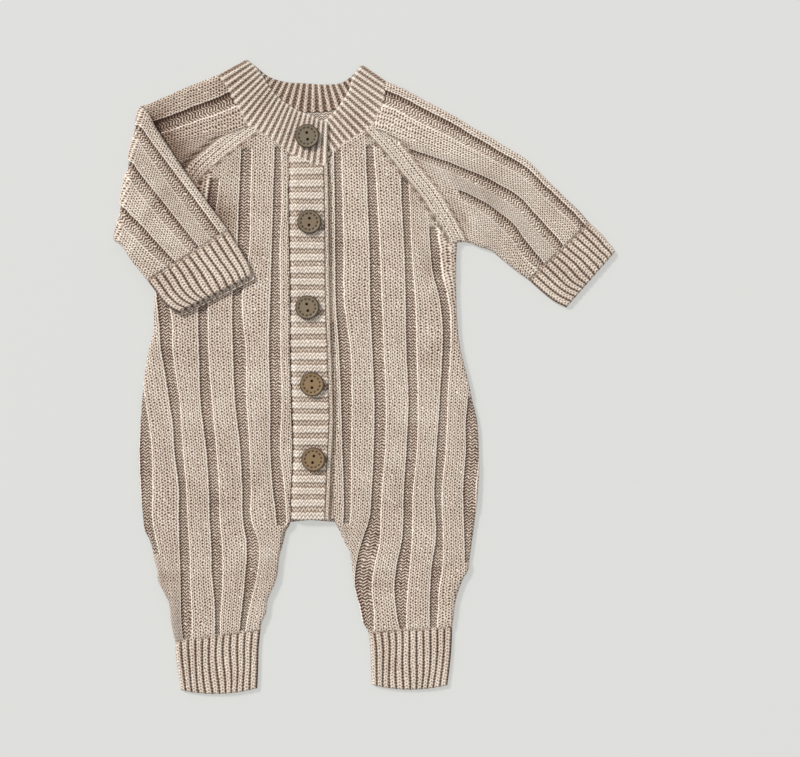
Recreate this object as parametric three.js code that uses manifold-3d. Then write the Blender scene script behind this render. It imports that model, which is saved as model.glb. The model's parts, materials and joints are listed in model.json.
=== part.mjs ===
// A knitted baby romper with raglan sleeves, laid flat on its back, in millimetres.
// X runs across the chest, Y from the leg cuffs up to the neck, Z up off the surface.
// One sleeve is spread out, the other is folded over the front.

import * as THREE from 'three';
import * as BufferGeometryUtils from 'three/addons/utils/BufferGeometryUtils.js';
import Module from 'manifold-3d';

const wasm = await Module();
wasm.setup();

// Cloth and layers
const seamGap = 0.35;          // clear space where two pieces are sewn together
const layerGap = 0.3;          // clear space between cloth that lies on cloth
const backThickness = 2.2;     // back panel, flat on the surface
const frontBase = backThickness + layerGap;
const clothThin = 1.7;         // wall at the bottom of a purl strip
const ribRise = 1.1;           // how far a knit rib stands over the purl strips
const ribCrown = 0.25;         // extra height in the middle of a wide rib
const ribRamp = 1.1;           // width of the slope beside a purl strip
const floorHeight = frontBase + clothThin;
const ribHeight = floorHeight + ribRise;
const sideRoll = 3.2;          // width of the rounding along a folded side
const seamRoll = 0.9;          // width of the rounding along a sewn edge
const sideRim = 0.9;           // a front's edge stands this high at its side
const seamRim = 2.0;           // and this high at the raglan seam
const innerRim = 1.0;          // width of the bevel beside the buttons
const innerBevel = 0.5;
const wideRib = 6;             // a rib wider than this is rounded up in its middle
const armhole = 342;           // rows above this height end at the raglan seams
const ringEnd = 10000;         // key at which a tube's ring closes on its start

// Button closure
const bandTopLift = 2.45;      // the buttonhole band lies this far over the front's underside
const bandStep = 5.0;          // width in which the band climbs on to the layer below
const bandRidges = 29;         // cross ribs of the buttonhole band
const bandRidgeRise = 0.9;
const bandRidgeShare = 0.55;   // raised share of each cross rib
const bandThin = 1.9;
const underlapThickness = 1.9;
const underlapLeft = -12.0;
const bandBottom = 133.5;
const bandTop = 399.0;
const bandEndInset = 2.4;      // from the right front's edge back to the band's free edge
const bandRim = [2.4, 3.4];    // heights of the band's outer edge over the front, and just inside it
const bandRimWidth = 1.2;
const selvedge = [3.2, 2.2, 1.6];  // where the ribs end, the groove and the edge stitch, from the free edge
const selvedgeRise = 0.5;
const selvedgeDrop = 0.3;
const buttonRadius = 9.0;
const buttonHeight = 3.0;
const buttonHoleRadius = 0.95;
const buttonHoleReach = 2.5;   // from the button's middle to each hole
const buttonSides = 22;

// Ribbed trims
const cuffRise = 1.0;
const legCuffRibs = 12;
const sleeveCuffRibs = 12;
const neckRise = 1.0;
const neckBackThin = 1.4;
const neckBackRise = 0.7;
const neckFoldReach = 0.8;     // the shoulder folds are this much flatter than round
const neckLeftAway = [-0.54, 0.84];   // directions in which the shoulder folds bulge
const neckRightAway = [0.58, 0.81];
const sleeveUnderWall = 2.0;
const sleeveHollow = 0.5;
const cuffEdge = 2.4;          // plain width beside the first and last rib of a cuff
const sleeveSeamGap = 0.7;     // wider, because both edges are cut into short straight stretches

// The fold of the left sleeve
const creaseTop = [-126.0, 445.0];
const creaseBottom = [-145.0, 341.0];
const foldInner = 0.15;        // half the clear space inside the fold
const foldNeutral = 2.8;       // radius at which the cloth keeps its length

const taupe = 0xbfa990;
const wood = 0x8f7a5c;

// Left front, from the leg cuff up: half width lines and the purl strips [middle, width]
// from the side to the buttons. rise is how much higher the row ends at the buttons.
const leftRows = [
  { y: 46.5, rise: 9, side: -105.0, inner: -41.0,
    strips: [null, [-96, 5], [-74, 4], [-55.5, 4], null] },
  { y: 58, rise: 6, side: -107.5, inner: -38.5,
    strips: [null, [-96.5, 7], [-73.5, 4.5], [-53.5, 5], null] },
  { y: 73, rise: 3, side: -110, inner: -35, strips: [null, [-97, 7], [-73, 5], [-50, 6], null] },
  { y: 88, rise: 0, side: -118, inner: -30, strips: [null, [-97.5, 7], [-72.5, 6], [-48, 7.5], null] },
  { y: 110, rise: 0, side: -122, inner: -26,
    strips: [null, [-97.5, 7], [-73.5, 7], [-46.5, 10], null] },
  { y: 124, rise: 0, side: -127.5, inner: -23.5,
    strips: [null, [-98, 6.5], [-74, 7], [-47, 10], null] },
  { y: 131, rise: 2, side: -129, inner: -20,
    strips: [[-124.3, 6], [-98.5, 6], [-74.5, 7], [-48, 9], null] },
  { y: 148, rise: 0, side: -131, inner: -18.5,
    strips: [[-125, 9], [-100, 5.5], [-75, 7], [-50, 7.5], [-25, 7]] },
  { y: 166, rise: 0, side: -132, inner: -18,
    strips: [[-126, 9], [-101.5, 5.5], [-76, 6.5], [-51, 8], [-26, 7.5]] },
  { y: 185, rise: 0, side: -133, inner: -17,
    strips: [[-127, 9], [-103, 5.5], [-77.5, 6], [-52, 8], [-27, 7.5]] },
  { y: 204, rise: 0, side: -132.5, inner: -17.5,
    strips: [[-127, 7.5], [-104.5, 5], [-79.5, 6.5], [-53, 8], [-28, 8]] },
  { y: 223, rise: 0, side: -130.5, inner: -18,
    strips: [null, [-106.5, 7], [-82, 7], [-54, 9], [-28, 8]] },
  { y: 253, rise: 0, side: -127.5, inner: -19,
    strips: [null, [-109, 8], [-83, 7.5], [-55.5, 10], [-29, 9]] },
  { y: 275, rise: 0, side: -122, inner: -19.5,
    strips: [null, [-111.5, 9], [-84, 7.5], [-56.5, 10], [-30, 8]] },
  { y: 298, rise: 0, side: -121.5, inner: -19,
    strips: [null, [-113.5, 9], [-84, 7.5], [-57, 9], [-29, 8]] },
  { y: 320, rise: 0, side: -116, inner: -19.5, strips: [null, null, [-83, 7.5], [-56, 9], [-28, 8]] },
  { y: 341, rise: 0, side: -110, inner: -19.5,
    strips: [null, null, [-81.5, 7.5], [-55, 8], [-27.5, 8]] },
  { y: 361.5, rise: 0, side: -106, inner: -20,
    strips: [null, null, [-79.5, 7.5], [-53.5, 8], [-27, 8]] },
  { y: 380, rise: 0, side: -97.5, inner: -20, strips: [null, null, [-77, 7], [-52.5, 8], [-26, 8]] },
  { y: 396, rise: 0, side: -87, inner: -20, strips: [null, null, null, [-52, 7.5], [-26, 7.5]] },
  { y: 404, rise: 0, side: -78.8, inner: -20, strips: [null, null, null, [-51.7, 7.5], [-25.7, 7]] },
  { y: 409.5, rise: 0, side: -72.5, inner: -20, strips: [null, null, null, [-51.5, 7], null] },
  { y: 415.5, rise: 0, side: -64.5, inner: -27.7, strips: [null, null, null, null, null] },
  { y: 420.5, rise: 0, side: -58.5, inner: -35.2, strips: [null, null, null, null, null] },
  { y: 426, rise: 0, side: -51, inner: -44.6, strips: [null, null, null, null, null] },
];

// Right front in the same way, its strips listed from the buttons to the side
const rightRows = [
  { y: 51, rise: -4, side: 103, inner: 40, strips: [null, [42, 4], [65, 4], [89, 4], null] },
  { y: 60, rise: -3, side: 104, inner: 36.5, strips: [null, [40.8, 5], [65, 4], [89, 5], null] },
  { y: 73, rise: -1, side: 106, inner: 32, strips: [null, [38, 9], [64.5, 7.5], [89, 5.5], null] },
  { y: 84, rise: 0, side: 109.5, inner: 29, strips: [null, [36.8, 11], [64.5, 9], [90, 6], null] },
  { y: 95, rise: 0, side: 114.5, inner: 28, strips: [null, [37, 12.5], [65.5, 9], [91.5, 7], null] },
  { y: 110, rise: 0, side: 117, inner: 25.5, strips: [null, [40, 12], [67.5, 7.5], [92, 6], null] },
  { y: 124, rise: 0, side: 118.5, inner: 21, strips: [null, [42.5, 10], [69, 7], [93, 5], [114, 5]] },
  { y: 132, rise: -1.5, side: 120, inner: 15.5,
    strips: [null, [44.5, 7], [69, 7], [93, 5], [114.5, 6]] },
  { y: 148, rise: 0, side: 122, inner: 14,
    strips: [[24, 5], [46.5, 6], [70, 7], [93, 5.5], [115.5, 8]] },
  { y: 166, rise: 0, side: 122, inner: 14.5,
    strips: [[24, 5.5], [48, 6.5], [71, 7], [94, 5.5], [116, 8]] },
  { y: 185, rise: 0, side: 122, inner: 15.5,
    strips: [[24, 6], [49, 7], [72.5, 7], [94.5, 6], [116, 8]] },
  { y: 208, rise: 0, side: 121.5, inner: 16,
    strips: [[24, 7], [49.5, 7.5], [74, 6], [96, 5.5], [116, 6]] },
  { y: 223, rise: 0, side: 119, inner: 16,
    strips: [[24, 7.5], [49.5, 8.5], [74, 6.5], [96.5, 5.5], null] },
  { y: 253, rise: 0, side: 113, inner: 15, strips: [[22, 8], [48.5, 9], [73.5, 7], [96.5, 5.5], null] },
  { y: 275, rise: 0, side: 108.5, inner: 14,
    strips: [[20.5, 8], [47, 9], [72.5, 7], [96.5, 5.5], null] },
  { y: 298, rise: 0, side: 107, inner: 13.5, strips: [[19.8, 8.5], [46, 9], [71, 7], [96, 6], null] },
  { y: 320, rise: 0, side: 106.5, inner: 13,
    strips: [[19.5, 8.5], [45, 9], [70.5, 7.5], [94, 6], null] },
  { y: 341, rise: 0, side: 106.5, inner: 13, strips: [[19, 8.5], [45, 9], [70, 7.5], [92, 4.5], null] },
  { y: 361.5, rise: 0, side: 95.5, inner: 13, strips: [[19, 8.5], [44, 9], [69.5, 7.5], null, null] },
  { y: 380, rise: 0, side: 83.5, inner: 12.5, strips: [[18.5, 8], [44, 9], [68.5, 7], null, null] },
  { y: 396, rise: 0, side: 70.5, inner: 12.5, strips: [[18.3, 7.5], [43, 8], null, null, null] },
  { y: 408, rise: 0, side: 61, inner: 12.5, strips: [[18, 7], [43, 7.5], null, null, null] },
  { y: 412.5, rise: 0, side: 57.5, inner: 17.3, strips: [null, [42.5, 6], null, null, null] },
  { y: 417, rise: 0, side: 53, inner: 23.8, strips: [null, null, null, null, null] },
  { y: 421.5, rise: 0, side: 49, inner: 31.8, strips: [null, null, null, null, null] },
  { y: 427, rise: 0, side: 44, inner: 39.6, strips: [null, null, null, null, null] },
];

// Upper back, from the armholes to the neck: drop is how much lower the middle lies
const backUpperRows = [
  { y: 356, left: -106, right: 99.5, drop: 0 },
  { y: 374, left: -99.5, right: 89.5, drop: 0 },
  { y: 394, left: -90, right: 77, drop: 0 },
  { y: 412, left: -79, right: 64.5, drop: 0 },
  { y: 431, left: -65.5, right: 51, drop: 2.5 },
  { y: 449.2, left: -53, right: 36.5, drop: 9 },
];
const backMiddle = -4.0;       // where the two halves of the back meet, above the legs
const backOverlap = 6;         // each half runs on this far before they are joined
const backEdge = 0.7;          // bevel round the back's upper side
const backRim = 1.2;
const legInset = 0.8;          // the back's leg edge lies this far inside the front's
const backSeat = 130.5;        // lowest point of the seat between the legs

// Neckband, seam line and free edge, from the buttons round the shoulders and back
const neckLeftSeam = [[9, 400], [-1.5, 401], [-11, 405], [-19.5, 409.5], [-27, 415.5], [-34.5, 420.5],
  [-44, 426], [-52, 434], [-59, 447], [-65, 458], [-70.5, 466]];
const neckLeftEdge = [[10, 430.5], [2, 434], [-5, 437.5], [-13, 440.5], [-20, 445], [-27, 449.5],
  [-33, 456.5], [-38, 464.5], [-44, 472.5], [-50, 477.5]];
const neckBackSeam = [[-70.5, 466], [-58, 457], [-40, 445.5], [-22.5, 442], [-7.5, 441], [7.5, 441.5],
  [22.5, 445.5], [37, 453], [50.5, 462]];
const neckBackEdge = [[-50, 477.5], [-44, 473], [-35, 466], [-22.5, 462], [-7.5, 461], [8, 460],
  [20, 461.5], [28, 467], [34, 473.5]];
const neckRightSeam = [[50.5, 462], [51, 454], [49, 444], [44, 434], [39, 427], [31, 421.5], [23, 417],
  [16.5, 412.5], [7.5, 406.5]];
const neckRightEdge = [[34, 473.5], [28, 465.5], [25, 455], [20, 447], [15, 440.5], [10, 435.5],
  [5, 432], [1.5, 428], [-4, 425]];
const neckLeftRibs = 22;
const neckBackRibs = 22;
const neckRightRibs = 15;
const neckLeftLift = [[0, 1], [0.17, 1], [0.27, 0], [1, 0]];    // climbs over the right end
const neckRightPress = [[0, 0], [0.55, 0], [0.7, 1], [1, 1]];   // pressed flat under the left end

// Sleeves, from the raglan seam to the cuff: ends of each row at the shoulder fold and the
// underarm, bow is how much of the raglan curve is left, strips are [place, width] across
// the face that shows, place running from 0 at the shoulder to 1 at the underarm.
const rightSleeveRows = [
  { shoulder: [53, 462.8], underarm: [107.6, 341.2], bow: 1.0,
    strips: [[0.1, 6], [0.42, 2], [0.66, 1]] },
  { shoulder: [79, 450], underarm: [110, 341.2], bow: 0.7, strips: [[0.1, 6.5], [0.4, 5], [0.65, 2]] },
  { shoulder: [105, 436], underarm: [114, 341.2], bow: 0.35,
    strips: [[0.1, 6], [0.38, 7], [0.62, 6.5]] },
  { shoulder: [131, 421], underarm: [120, 340], bow: 0.1,
    strips: [[0.12, 5.5], [0.39, 7], [0.66, 7.5]] },
  { shoulder: [154, 407], underarm: [130, 335.5], bow: 0,
    strips: [[0.12, 5.5], [0.42, 7], [0.7, 7.5]] },
  { shoulder: [174, 388.5], underarm: [142, 328], bow: 0, strips: [[0.11, 5], [0.45, 6.5], [0.76, 7]] },
  { shoulder: [191, 372], underarm: [151.5, 320.5], bow: 0,
    strips: [[0.1, 4.5], [0.47, 6], [0.78, 6]] },
  { shoulder: [206, 356], underarm: [160.5, 313], bow: 0, strips: [[0.1, 4], [0.48, 5], [0.79, 5]] },
];
const rightCuffRows = [
  { shoulder: [206.2, 355.6], underarm: [160.9, 312.6] },
  { shoulder: [215, 348.5], underarm: [167.5, 306.5] },
  { shoulder: [222, 340.5], underarm: [178, 299] },
  { shoulder: [225.7, 334.5], underarm: [188.7, 292.5] },
];

// The left sleeve, flat up to the fold, and then as it is seen folded over the front
const leftSleeveRows = [
  { shoulder: [-73.1, 467.4], underarm: [-111.8, 341.6], bow: 1.0,
    strips: [[0.14, 7], [0.34, 2], [0.6, 1]] },
  { shoulder: [-89, 460.5], underarm: [-120, 340], bow: 0.6,
    strips: [[0.16, 7.5], [0.38, 6], [0.62, 5]] },
  { shoulder: [-107, 453.5], underarm: [-132, 340.5], bow: 0.2,
    strips: [[0.18, 7.5], [0.42, 7], [0.68, 7]] },
];
const leftFoldedRows = [
  { shoulder: [-120, 429], underarm: [-141.5, 334], strips: [[0.16, 7], [0.45, 7.5], [0.78, 7]] },
  { shoulder: [-107, 408.5], underarm: [-138, 328.5], strips: [[0.155, 7], [0.44, 7.5], [0.76, 7]] },
  { shoulder: [-93.5, 389], underarm: [-134, 323], strips: [[0.15, 6.5], [0.43, 7], [0.73, 7]] },
  { shoulder: [-79, 369], underarm: [-129.5, 317.5], strips: [[0.145, 6], [0.415, 7], [0.71, 6.5]] },
  { shoulder: [-64.5, 349.5], underarm: [-125, 312], strips: [[0.14, 5.5], [0.4, 6], [0.69, 5.5]] },
];
const leftFoldStrips = [[0.17, 7], [0.45, 7.5], [0.78, 7.5]];
const leftCuffRows = [
  { shoulder: [-64.2, 349], underarm: [-124.8, 311.5] },
  { shoulder: [-57.5, 338], underarm: [-119, 303] },
  { shoulder: [-51, 328], underarm: [-112, 295] },
  { shoulder: [-47, 315], underarm: [-101.5, 289.5] },
];
const foldSteps = 5;           // rows of the sleeve round its fold
const turnRise = 0.8;          // ribs of the folded part stand this far over its plain cloth
const underColumns = 7;        // stretches across the plain underside of a sleeve

// Leg cuffs, from the seam down to the hem
const leftLegCuffRows = [
  { shoulder: [-105.3, 41.6], underarm: [-40.7, 50.6] },
  { shoulder: [-104.8, 30], underarm: [-42.5, 38] },
  { shoulder: [-102.5, 15], underarm: [-42.5, 20] },
  { shoulder: [-100.8, 4.3], underarm: [-43.2, 6] },
];
const rightLegCuffRows = [
  { shoulder: [39.8, 48.6], underarm: [103.2, 52.6] },
  { shoulder: [41.5, 38], underarm: [103, 40] },
  { shoulder: [42, 20], underarm: [101.5, 22] },
  { shoulder: [42.6, 8.5], underarm: [99.6, 8.3] },
];
const legHemSag = 3.5;         // the hem's middle hangs this much below its ends

const buttonPlaces = [[-5.5, 420], [-4, 356], [-5.5, 292], [-2, 234.5], [-1, 178.5]];
const buttonTurns = [8, -4, 10, 2, -12];   // degrees by which each pair of holes is turned

// Plain helpers

function mix(a, b, share) {
  return a + (b - a) * share;
}

function mixPoint(a, b, share) {
  return [mix(a[0], b[0], share), mix(a[1], b[1], share)];
}

// The value at a place in a short table of [place, value], straight between its entries
function lookUp(table, place) {
  const last = table[table.length - 1];
  if (place <= table[0][0]) return table[0][1];
  for (let i = 1; i < table.length; i += 1) {
    const [before, low] = table[i - 1];
    const [after, high] = table[i];
    if (place <= after) return mix(low, high, (place - before) / (after - before));
  }
  return last[1];
}

// Lengths from a line's start to each of its points
function lineLengths(line) {
  const lengths = [0];
  for (let i = 1; i < line.length; i += 1) {
    const step = Math.hypot(line[i][0] - line[i - 1][0], line[i][1] - line[i - 1][1]);
    lengths.push(lengths[i - 1] + step);
  }
  return lengths;
}

// A point at a share of a line's length
function along(line, share) {
  const lengths = lineLengths(line);
  const wanted = share * lengths.at(-1);
  let i = 1;
  while (i < line.length - 1 && lengths[i] < wanted) i += 1;
  return mixPoint(line[i - 1], line[i], (wanted - lengths[i - 1]) / (lengths[i] - lengths[i - 1]));
}

// Triangles between two neighbouring lines of points, which are matched by their keys
function stitch(a, b, faces, turned) {
  const add = (p, q, r) => faces.push(turned ? [p, r, q] : [p, q, r]);
  let i = 0;
  let j = 0;
  while (i < a.length - 1 || j < b.length - 1) {
    const nextA = i < a.length - 1 ? a[i + 1].key : Infinity;
    const nextB = j < b.length - 1 ? b[j + 1].key : Infinity;
    if (nextA < nextB) {
      add(a[i].at, a[i + 1].at, b[j].at);
      i += 1;
    } else if (nextB < nextA) {
      add(a[i].at, b[j + 1].at, b[j].at);
      j += 1;
    } else {
      add(a[i].at, a[i + 1].at, b[j + 1].at);
      add(a[i].at, b[j + 1].at, b[j].at);
      i += 1;
      j += 1;
    }
  }
}

// A closed geometry from triangles, turned inside out if its volume comes out negative
function geometryFrom(faces) {
  let volume = 0;
  for (const [p, q, r] of faces) {
    volume += p[0] * (q[1] * r[2] - q[2] * r[1]);
    volume += p[1] * (q[2] * r[0] - q[0] * r[2]);
    volume += p[2] * (q[0] * r[1] - q[1] * r[0]);
  }
  const ordered = volume < 0 ? faces.map(([p, q, r]) => [p, r, q]) : faces;
  const geometry = new THREE.BufferGeometry();
  geometry.setAttribute('position', new THREE.Float32BufferAttribute(ordered.flat(2), 3));
  return geometry;
}

// A strip of cloth with four edges: each row has an outer and an inner line of points
function clothWall(rows) {
  const faces = [];
  for (let r = 0; r + 1 < rows.length; r += 1) {
    const here = rows[r];
    const next = rows[r + 1];
    stitch(here.outer, next.outer, faces, false);
    stitch(here.inner, next.inner, faces, true);
    stitch([here.inner[0], here.outer[0]], [next.inner[0], next.outer[0]], faces, false);
    stitch([here.outer.at(-1), here.inner.at(-1)], [next.outer.at(-1), next.inner.at(-1)], faces, false);
  }
  stitch(rows[0].inner, rows[0].outer, faces, false);
  stitch(rows.at(-1).inner, rows.at(-1).outer, faces, true);
  return geometryFrom(faces);
}

// A tube of cloth, open at both ends: each row has an outer and an inner ring of points
function clothTube(rows) {
  const closed = (ring) => [...ring, { key: ringEnd, at: ring[0].at }];
  const faces = [];
  for (let r = 0; r + 1 < rows.length; r += 1) {
    stitch(closed(rows[r].outer), closed(rows[r + 1].outer), faces, false);
    stitch(closed(rows[r].inner), closed(rows[r + 1].inner), faces, true);
  }
  for (const [row, turned] of [[rows[0], false], [rows.at(-1), true]]) {
    stitch(closed(row.inner), closed(row.outer), faces, turned);
  }
  return geometryFrom(faces);
}

function manifoldGeometry(solid) {
  const mesh = solid.getMesh();
  const geometry = new THREE.BufferGeometry();
  geometry.setAttribute('position', new THREE.Float32BufferAttribute(mesh.vertProperties, 3));
  geometry.setIndex(Array.from(mesh.triVerts));
  return geometry;
}

function manifoldFrom(geometry) {
  const bare = geometry.clone();
  bare.deleteAttribute('normal');
  bare.deleteAttribute('uv');
  const merged = BufferGeometryUtils.mergeVertices(bare, 1e-4);
  return new wasm.Manifold(new wasm.Mesh({
    numProp: 3,
    vertProperties: Float32Array.from(merged.attributes.position.array),
    triVerts: Uint32Array.from(merged.index.array),
  }));
}

// Front panels: across runs from the side to the buttons, so the right panel is mirrored

function frontRow(row, mirror) {
  const side = mirror * row.side;
  const inner = mirror * row.inner;
  const strips = mirror > 0 ? row.strips : [...row.strips].reverse();
  const width = inner - side;
  const yAt = (across) => row.y + row.rise * ((across - side) / width - 0.5);
  const heightAt = (across) => {
    let height = ribHeight;
    for (const strip of strips) {
      if (!strip) continue;
      const reach = strip[1] / 2 - Math.abs(across - mirror * strip[0]);
      height = Math.min(height, ribHeight - ribRise * Math.min(1, Math.max(0, reach / ribRamp)));
    }
    return height;
  };
  const atSeam = row.y > armhole;
  const roll = Math.min(atSeam ? seamRoll : sideRoll, width / 4);
  const place = (key, across, z) => ({ key, at: [mirror * across, yAt(across), z] });
  const outer = [
    place(-40, side, frontBase + (atSeam ? seamRim : sideRim)),
    place(-30, side + 0.3 * roll, mix(frontBase, heightAt(side + roll), 0.78)),
    place(-20, side + roll, heightAt(side + roll)),
  ];
  const innerStop = inner - Math.min(innerRim, width / 5);
  let previous = side + roll;
  strips.forEach((strip, index) => {
    if (!strip) return;
    const left = mirror * strip[0] - strip[1] / 2;
    const right = mirror * strip[0] + strip[1] / 2;
    const crown = (previous + left) / 2;
    if (left - previous > wideRib) outer.push(place(index * 10 - 5, crown, ribHeight + ribCrown));
    const columns = [left, left + ribRamp, right - ribRamp, right];
    columns.forEach((across, column) => {
      if (across < side + roll + 0.3 || across > innerStop - 0.3) return;
      outer.push(place(index * 10 + column, across, heightAt(across)));
    });
    previous = right;
  });
  if (innerStop - previous > wideRib) {
    outer.push(place(60, (previous + innerStop) / 2, ribHeight + ribCrown));
  }
  outer.push(place(90, innerStop, heightAt(innerStop)));
  outer.push(place(100, inner, heightAt(inner) - innerBevel));
  const bottom = [
    place(-40, side, frontBase),
    place(20, (side + inner) / 2, frontBase),
    place(100, inner, frontBase),
  ];
  return { outer, inner: bottom };
}

// The back is two halves, each from the leg up to the neck, joined above the seat

function backHalf(rows, mirror) {
  const list = [];
  const push = (y, rise, side, inner, drop) => {
    const from = mirror * side;
    const to = mirror * inner;
    const yAt = (share) => y + rise * (share - 0.5) - drop * (1 - (1 - share) ** 2);
    const place = (key, share, inset, z) => ({
      key,
      at: [mirror * (mix(from, to, share) + inset), yAt(share), z],
    });
    list.push({
      outer: [place(0, 0, 0, backRim), place(1, 0, backEdge, backThickness),
        place(2, 0.35, 0, backThickness), place(3, 0.7, 0, backThickness),
        place(4, 1, -backEdge, backThickness), place(5, 1, 0, backRim)],
      inner: [place(0, 0, 0, 0), place(2, 0.35, 0, 0), place(3, 0.7, 0, 0), place(5, 1, 0, 0)],
    });
  };
  const over = mirror * backOverlap;
  for (const row of rows) {
    if (row.y < backSeat - 4) push(row.y, row.rise, row.side, row.inner + mirror * legInset, 0);
  }
  push(backSeat - 3.5, 0, lineSide(rows, backSeat - 3.5), mirror > 0 ? -17 : 14, 0);
  push(backSeat, 0, lineSide(rows, backSeat), backMiddle + over, 0);
  for (const row of rows) {
    if (row.y > backSeat + 6 && row.y < armhole) push(row.y, 0, row.side, backMiddle + over, 0);
  }
  for (const row of backUpperRows) {
    push(row.y, 0, mirror > 0 ? row.left : row.right, backMiddle, row.drop);
  }
  return clothWall(list);
}

// The side line's place at a height between the rows of a front table
function lineSide(rows, y) {
  return lookUp(rows.map((row) => [row.y, row.side]), y);
}

// A flattened sleeve or cuff. Its upper face has ribs or strips and its underside is plain,
// or the other way round where turn is 1 because the cloth is folded over.

// Adds a point at each bend of a curve to a list of places across a sleeve
function withBends(list, curve) {
  const lengths = lineLengths(curve);
  const full = [...list];
  for (const length of lengths.slice(1, -1)) {
    const share = length / lengths.at(-1);
    const spans = (point, i) => i > 0 && (point.share - share) * (full[i - 1].share - share) < 0;
    const after = full.findIndex(spans);
    if (after < 0) continue;
    const [low, high] = [full[after - 1], full[after]];
    const part = (share - low.share) / (high.share - low.share);
    full.splice(after, 0, { key: (low.key + high.key) / 2, share, z: mix(low.z, high.z, part) });
  }
  return full;
}

function tubeRow(row, options) {
  const { frontCurve, backCurve, profile, bend } = options;
  const span = Math.hypot(row.underarm[0] - row.shoulder[0], row.underarm[1] - row.shoulder[1]);
  const bow = row.bow ?? 0;
  const sag = row.sag ?? 0;
  const top = ribHeight;
  const middle = sleeveUnderWall + sleeveHollow / 2;
  const edge = sideRoll / span;
  const bore = (sideRoll * 0.85) / span;
  const half = sleeveHollow / 2;
  const lay = (curve, list) => (bow === 1 ? withBends(list, curve) : list).map(({ key, share, z }) => {
    const straight = mixPoint(row.shoulder, row.underarm, share);
    const chord = mixPoint(curve[0], curve.at(-1), share);
    const bent = along(curve, share);
    const x = straight[0] + bow * (bent[0] - chord[0]);
    const y = straight[1] + bow * (bent[1] - chord[1]) - sag * 4 * share * (1 - share);
    return { key, at: bend([x, y, z]) };
  });
  const turn = row.turn ?? 0;
  const relief = profile(row, span, options.corner);
  const shoulderHeight = mix(middle, top, 0.75);
  const face = relief.map(([key, share, rise]) => ({ key, share, z: top + rise * (1 - turn) }));
  const upper = [
    { key: 0, share: 0, z: middle },
    { key: 1, share: 0.25 * edge, z: shoulderHeight },
    ...face,
    { key: 900, share: 1 - 0.25 * edge, z: shoulderHeight },
    { key: 1000, share: 1, z: middle },
  ];
  const under = [];
  if (row.turn === undefined) {
    for (let i = 0; i <= underColumns; i += 1) {
      const share = mix(1 - 0.35 * edge, 0.35 * edge, i / underColumns);
      under.push({ key: 1001 + i * 100, share, z: 0 });
    }
  } else {
    const depth = (rise) => -turn * (turnRise + rise);
    const turned = relief.map(([key, share, rise]) => ({ key: 2000 - key, share, z: depth(rise) }));
    under.push(...turned.reverse());
  }
  const boreUpper = [[1, bore, 0], [100, 1.8 * bore, half], [300, 0.3, half], [600, 0.6, half],
    [800, 1 - 1.8 * bore, half], [1000, 1 - bore, 0]];
  const boreUnder = [[1001, 1 - 1.8 * bore, half], [1300, 0.6, half], [1600, 0.3, half],
    [1999, 1.8 * bore, half]];
  const above = boreUpper.map(([key, share, rise]) => ({ key, share, z: middle + rise }));
  const below = boreUnder.map(([key, share, drop]) => ({ key, share, z: middle - drop }));
  return {
    outer: [...lay(frontCurve, upper), ...lay(backCurve, under)],
    inner: [...lay(frontCurve, above), ...lay(backCurve, below)],
  };
}

// Wide ribs with purl strips sunk between them, as [key, share, rise]. At the raglan end
// one column stands on the corner where the neckband and the raglan seam meet.
function stripProfile(row, span, corner) {
  const points = [[10, sideRoll / span, 0]];
  let previous = sideRoll / span;
  row.strips.forEach(([middle, width], index) => {
    const half = width / 2 / span;
    const ramp = Math.min(ribRamp, width / 3) / span;
    const depth = Math.min(1, width / 5) * ribRise;
    const key = 100 + index * 200;
    const left = middle - half;
    const atCorner = index === 1 && row.bow;
    const first = mix(previous, left, 0.35);
    points.push([key - 60, atCorner ? mix(first, corner, row.bow) : first, ribCrown]);
    points.push([key - 50, mix(atCorner ? mix(previous, corner, row.bow) : previous, left, 0.7), ribCrown]);
    points.push([key, left, 0]);
    points.push([key + 10, left + ramp, -depth]);
    points.push([key + 20, middle + half - ramp, -depth]);
    points.push([key + 30, middle + half, 0]);
    previous = middle + half;
  });
  points.push([690, mix(previous, 1 - sideRoll / span, 0.35), ribCrown]);
  points.push([700, mix(previous, 1 - sideRoll / span, 0.7), ribCrown]);
  points.push([800, 1 - sideRoll / span, 0]);
  return points;
}

// Narrow cuff ribs, a peak and a valley for each
function ribProfile(count, rise) {
  return (row, span) => {
    const edge = cuffEdge / span;
    const points = [];
    for (let i = 0; i <= 2 * count; i += 1) {
      const share = mix(edge, 1 - edge, i / (2 * count));
      points.push([10 + i * 20, share, i % 2 === 0 ? -rise : 0]);
    }
    return points;
  };
}

// The sleeve's fold. Cloth past the fold line rolls over and runs back on top.
const foldLength = Math.hypot(creaseBottom[0] - creaseTop[0], creaseBottom[1] - creaseTop[1]);
const foldNormal = [
  (creaseBottom[1] - creaseTop[1]) / foldLength,
  -(creaseBottom[0] - creaseTop[0]) / foldLength,
];
const foldTurn = Math.PI * foldNeutral;   // cloth used up by the roll
const foldCentre = ribHeight + ribCrown + foldInner;

function pastFold(x, y) {
  return (x - creaseTop[0]) * foldNormal[0] + (y - creaseTop[1]) * foldNormal[1];
}

function foldOver([x, y, z]) {
  const past = pastFold(x, y);
  if (past <= 0) return [x, y, z];
  const radius = foldCentre - z;
  const angle = Math.min(Math.PI, past / foldNeutral);
  const reach = radius * Math.sin(angle) - Math.max(0, past - foldTurn);
  const move = reach - past;
  return [x + move * foldNormal[0], y + move * foldNormal[1], foldCentre - radius * Math.cos(angle)];
}

// A place seen on the folded part, laid out flat again beyond the fold
function unfolded([x, y]) {
  const move = foldTurn - 2 * pastFold(x, y);
  return [x + move * foldNormal[0], y + move * foldNormal[1]];
}

// A row of the folded part, whose other face now shows
function unfoldedRow(row) {
  return { ...row, turn: 1, shoulder: unfolded(row.shoulder), underarm: unfolded(row.underarm) };
}

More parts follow.
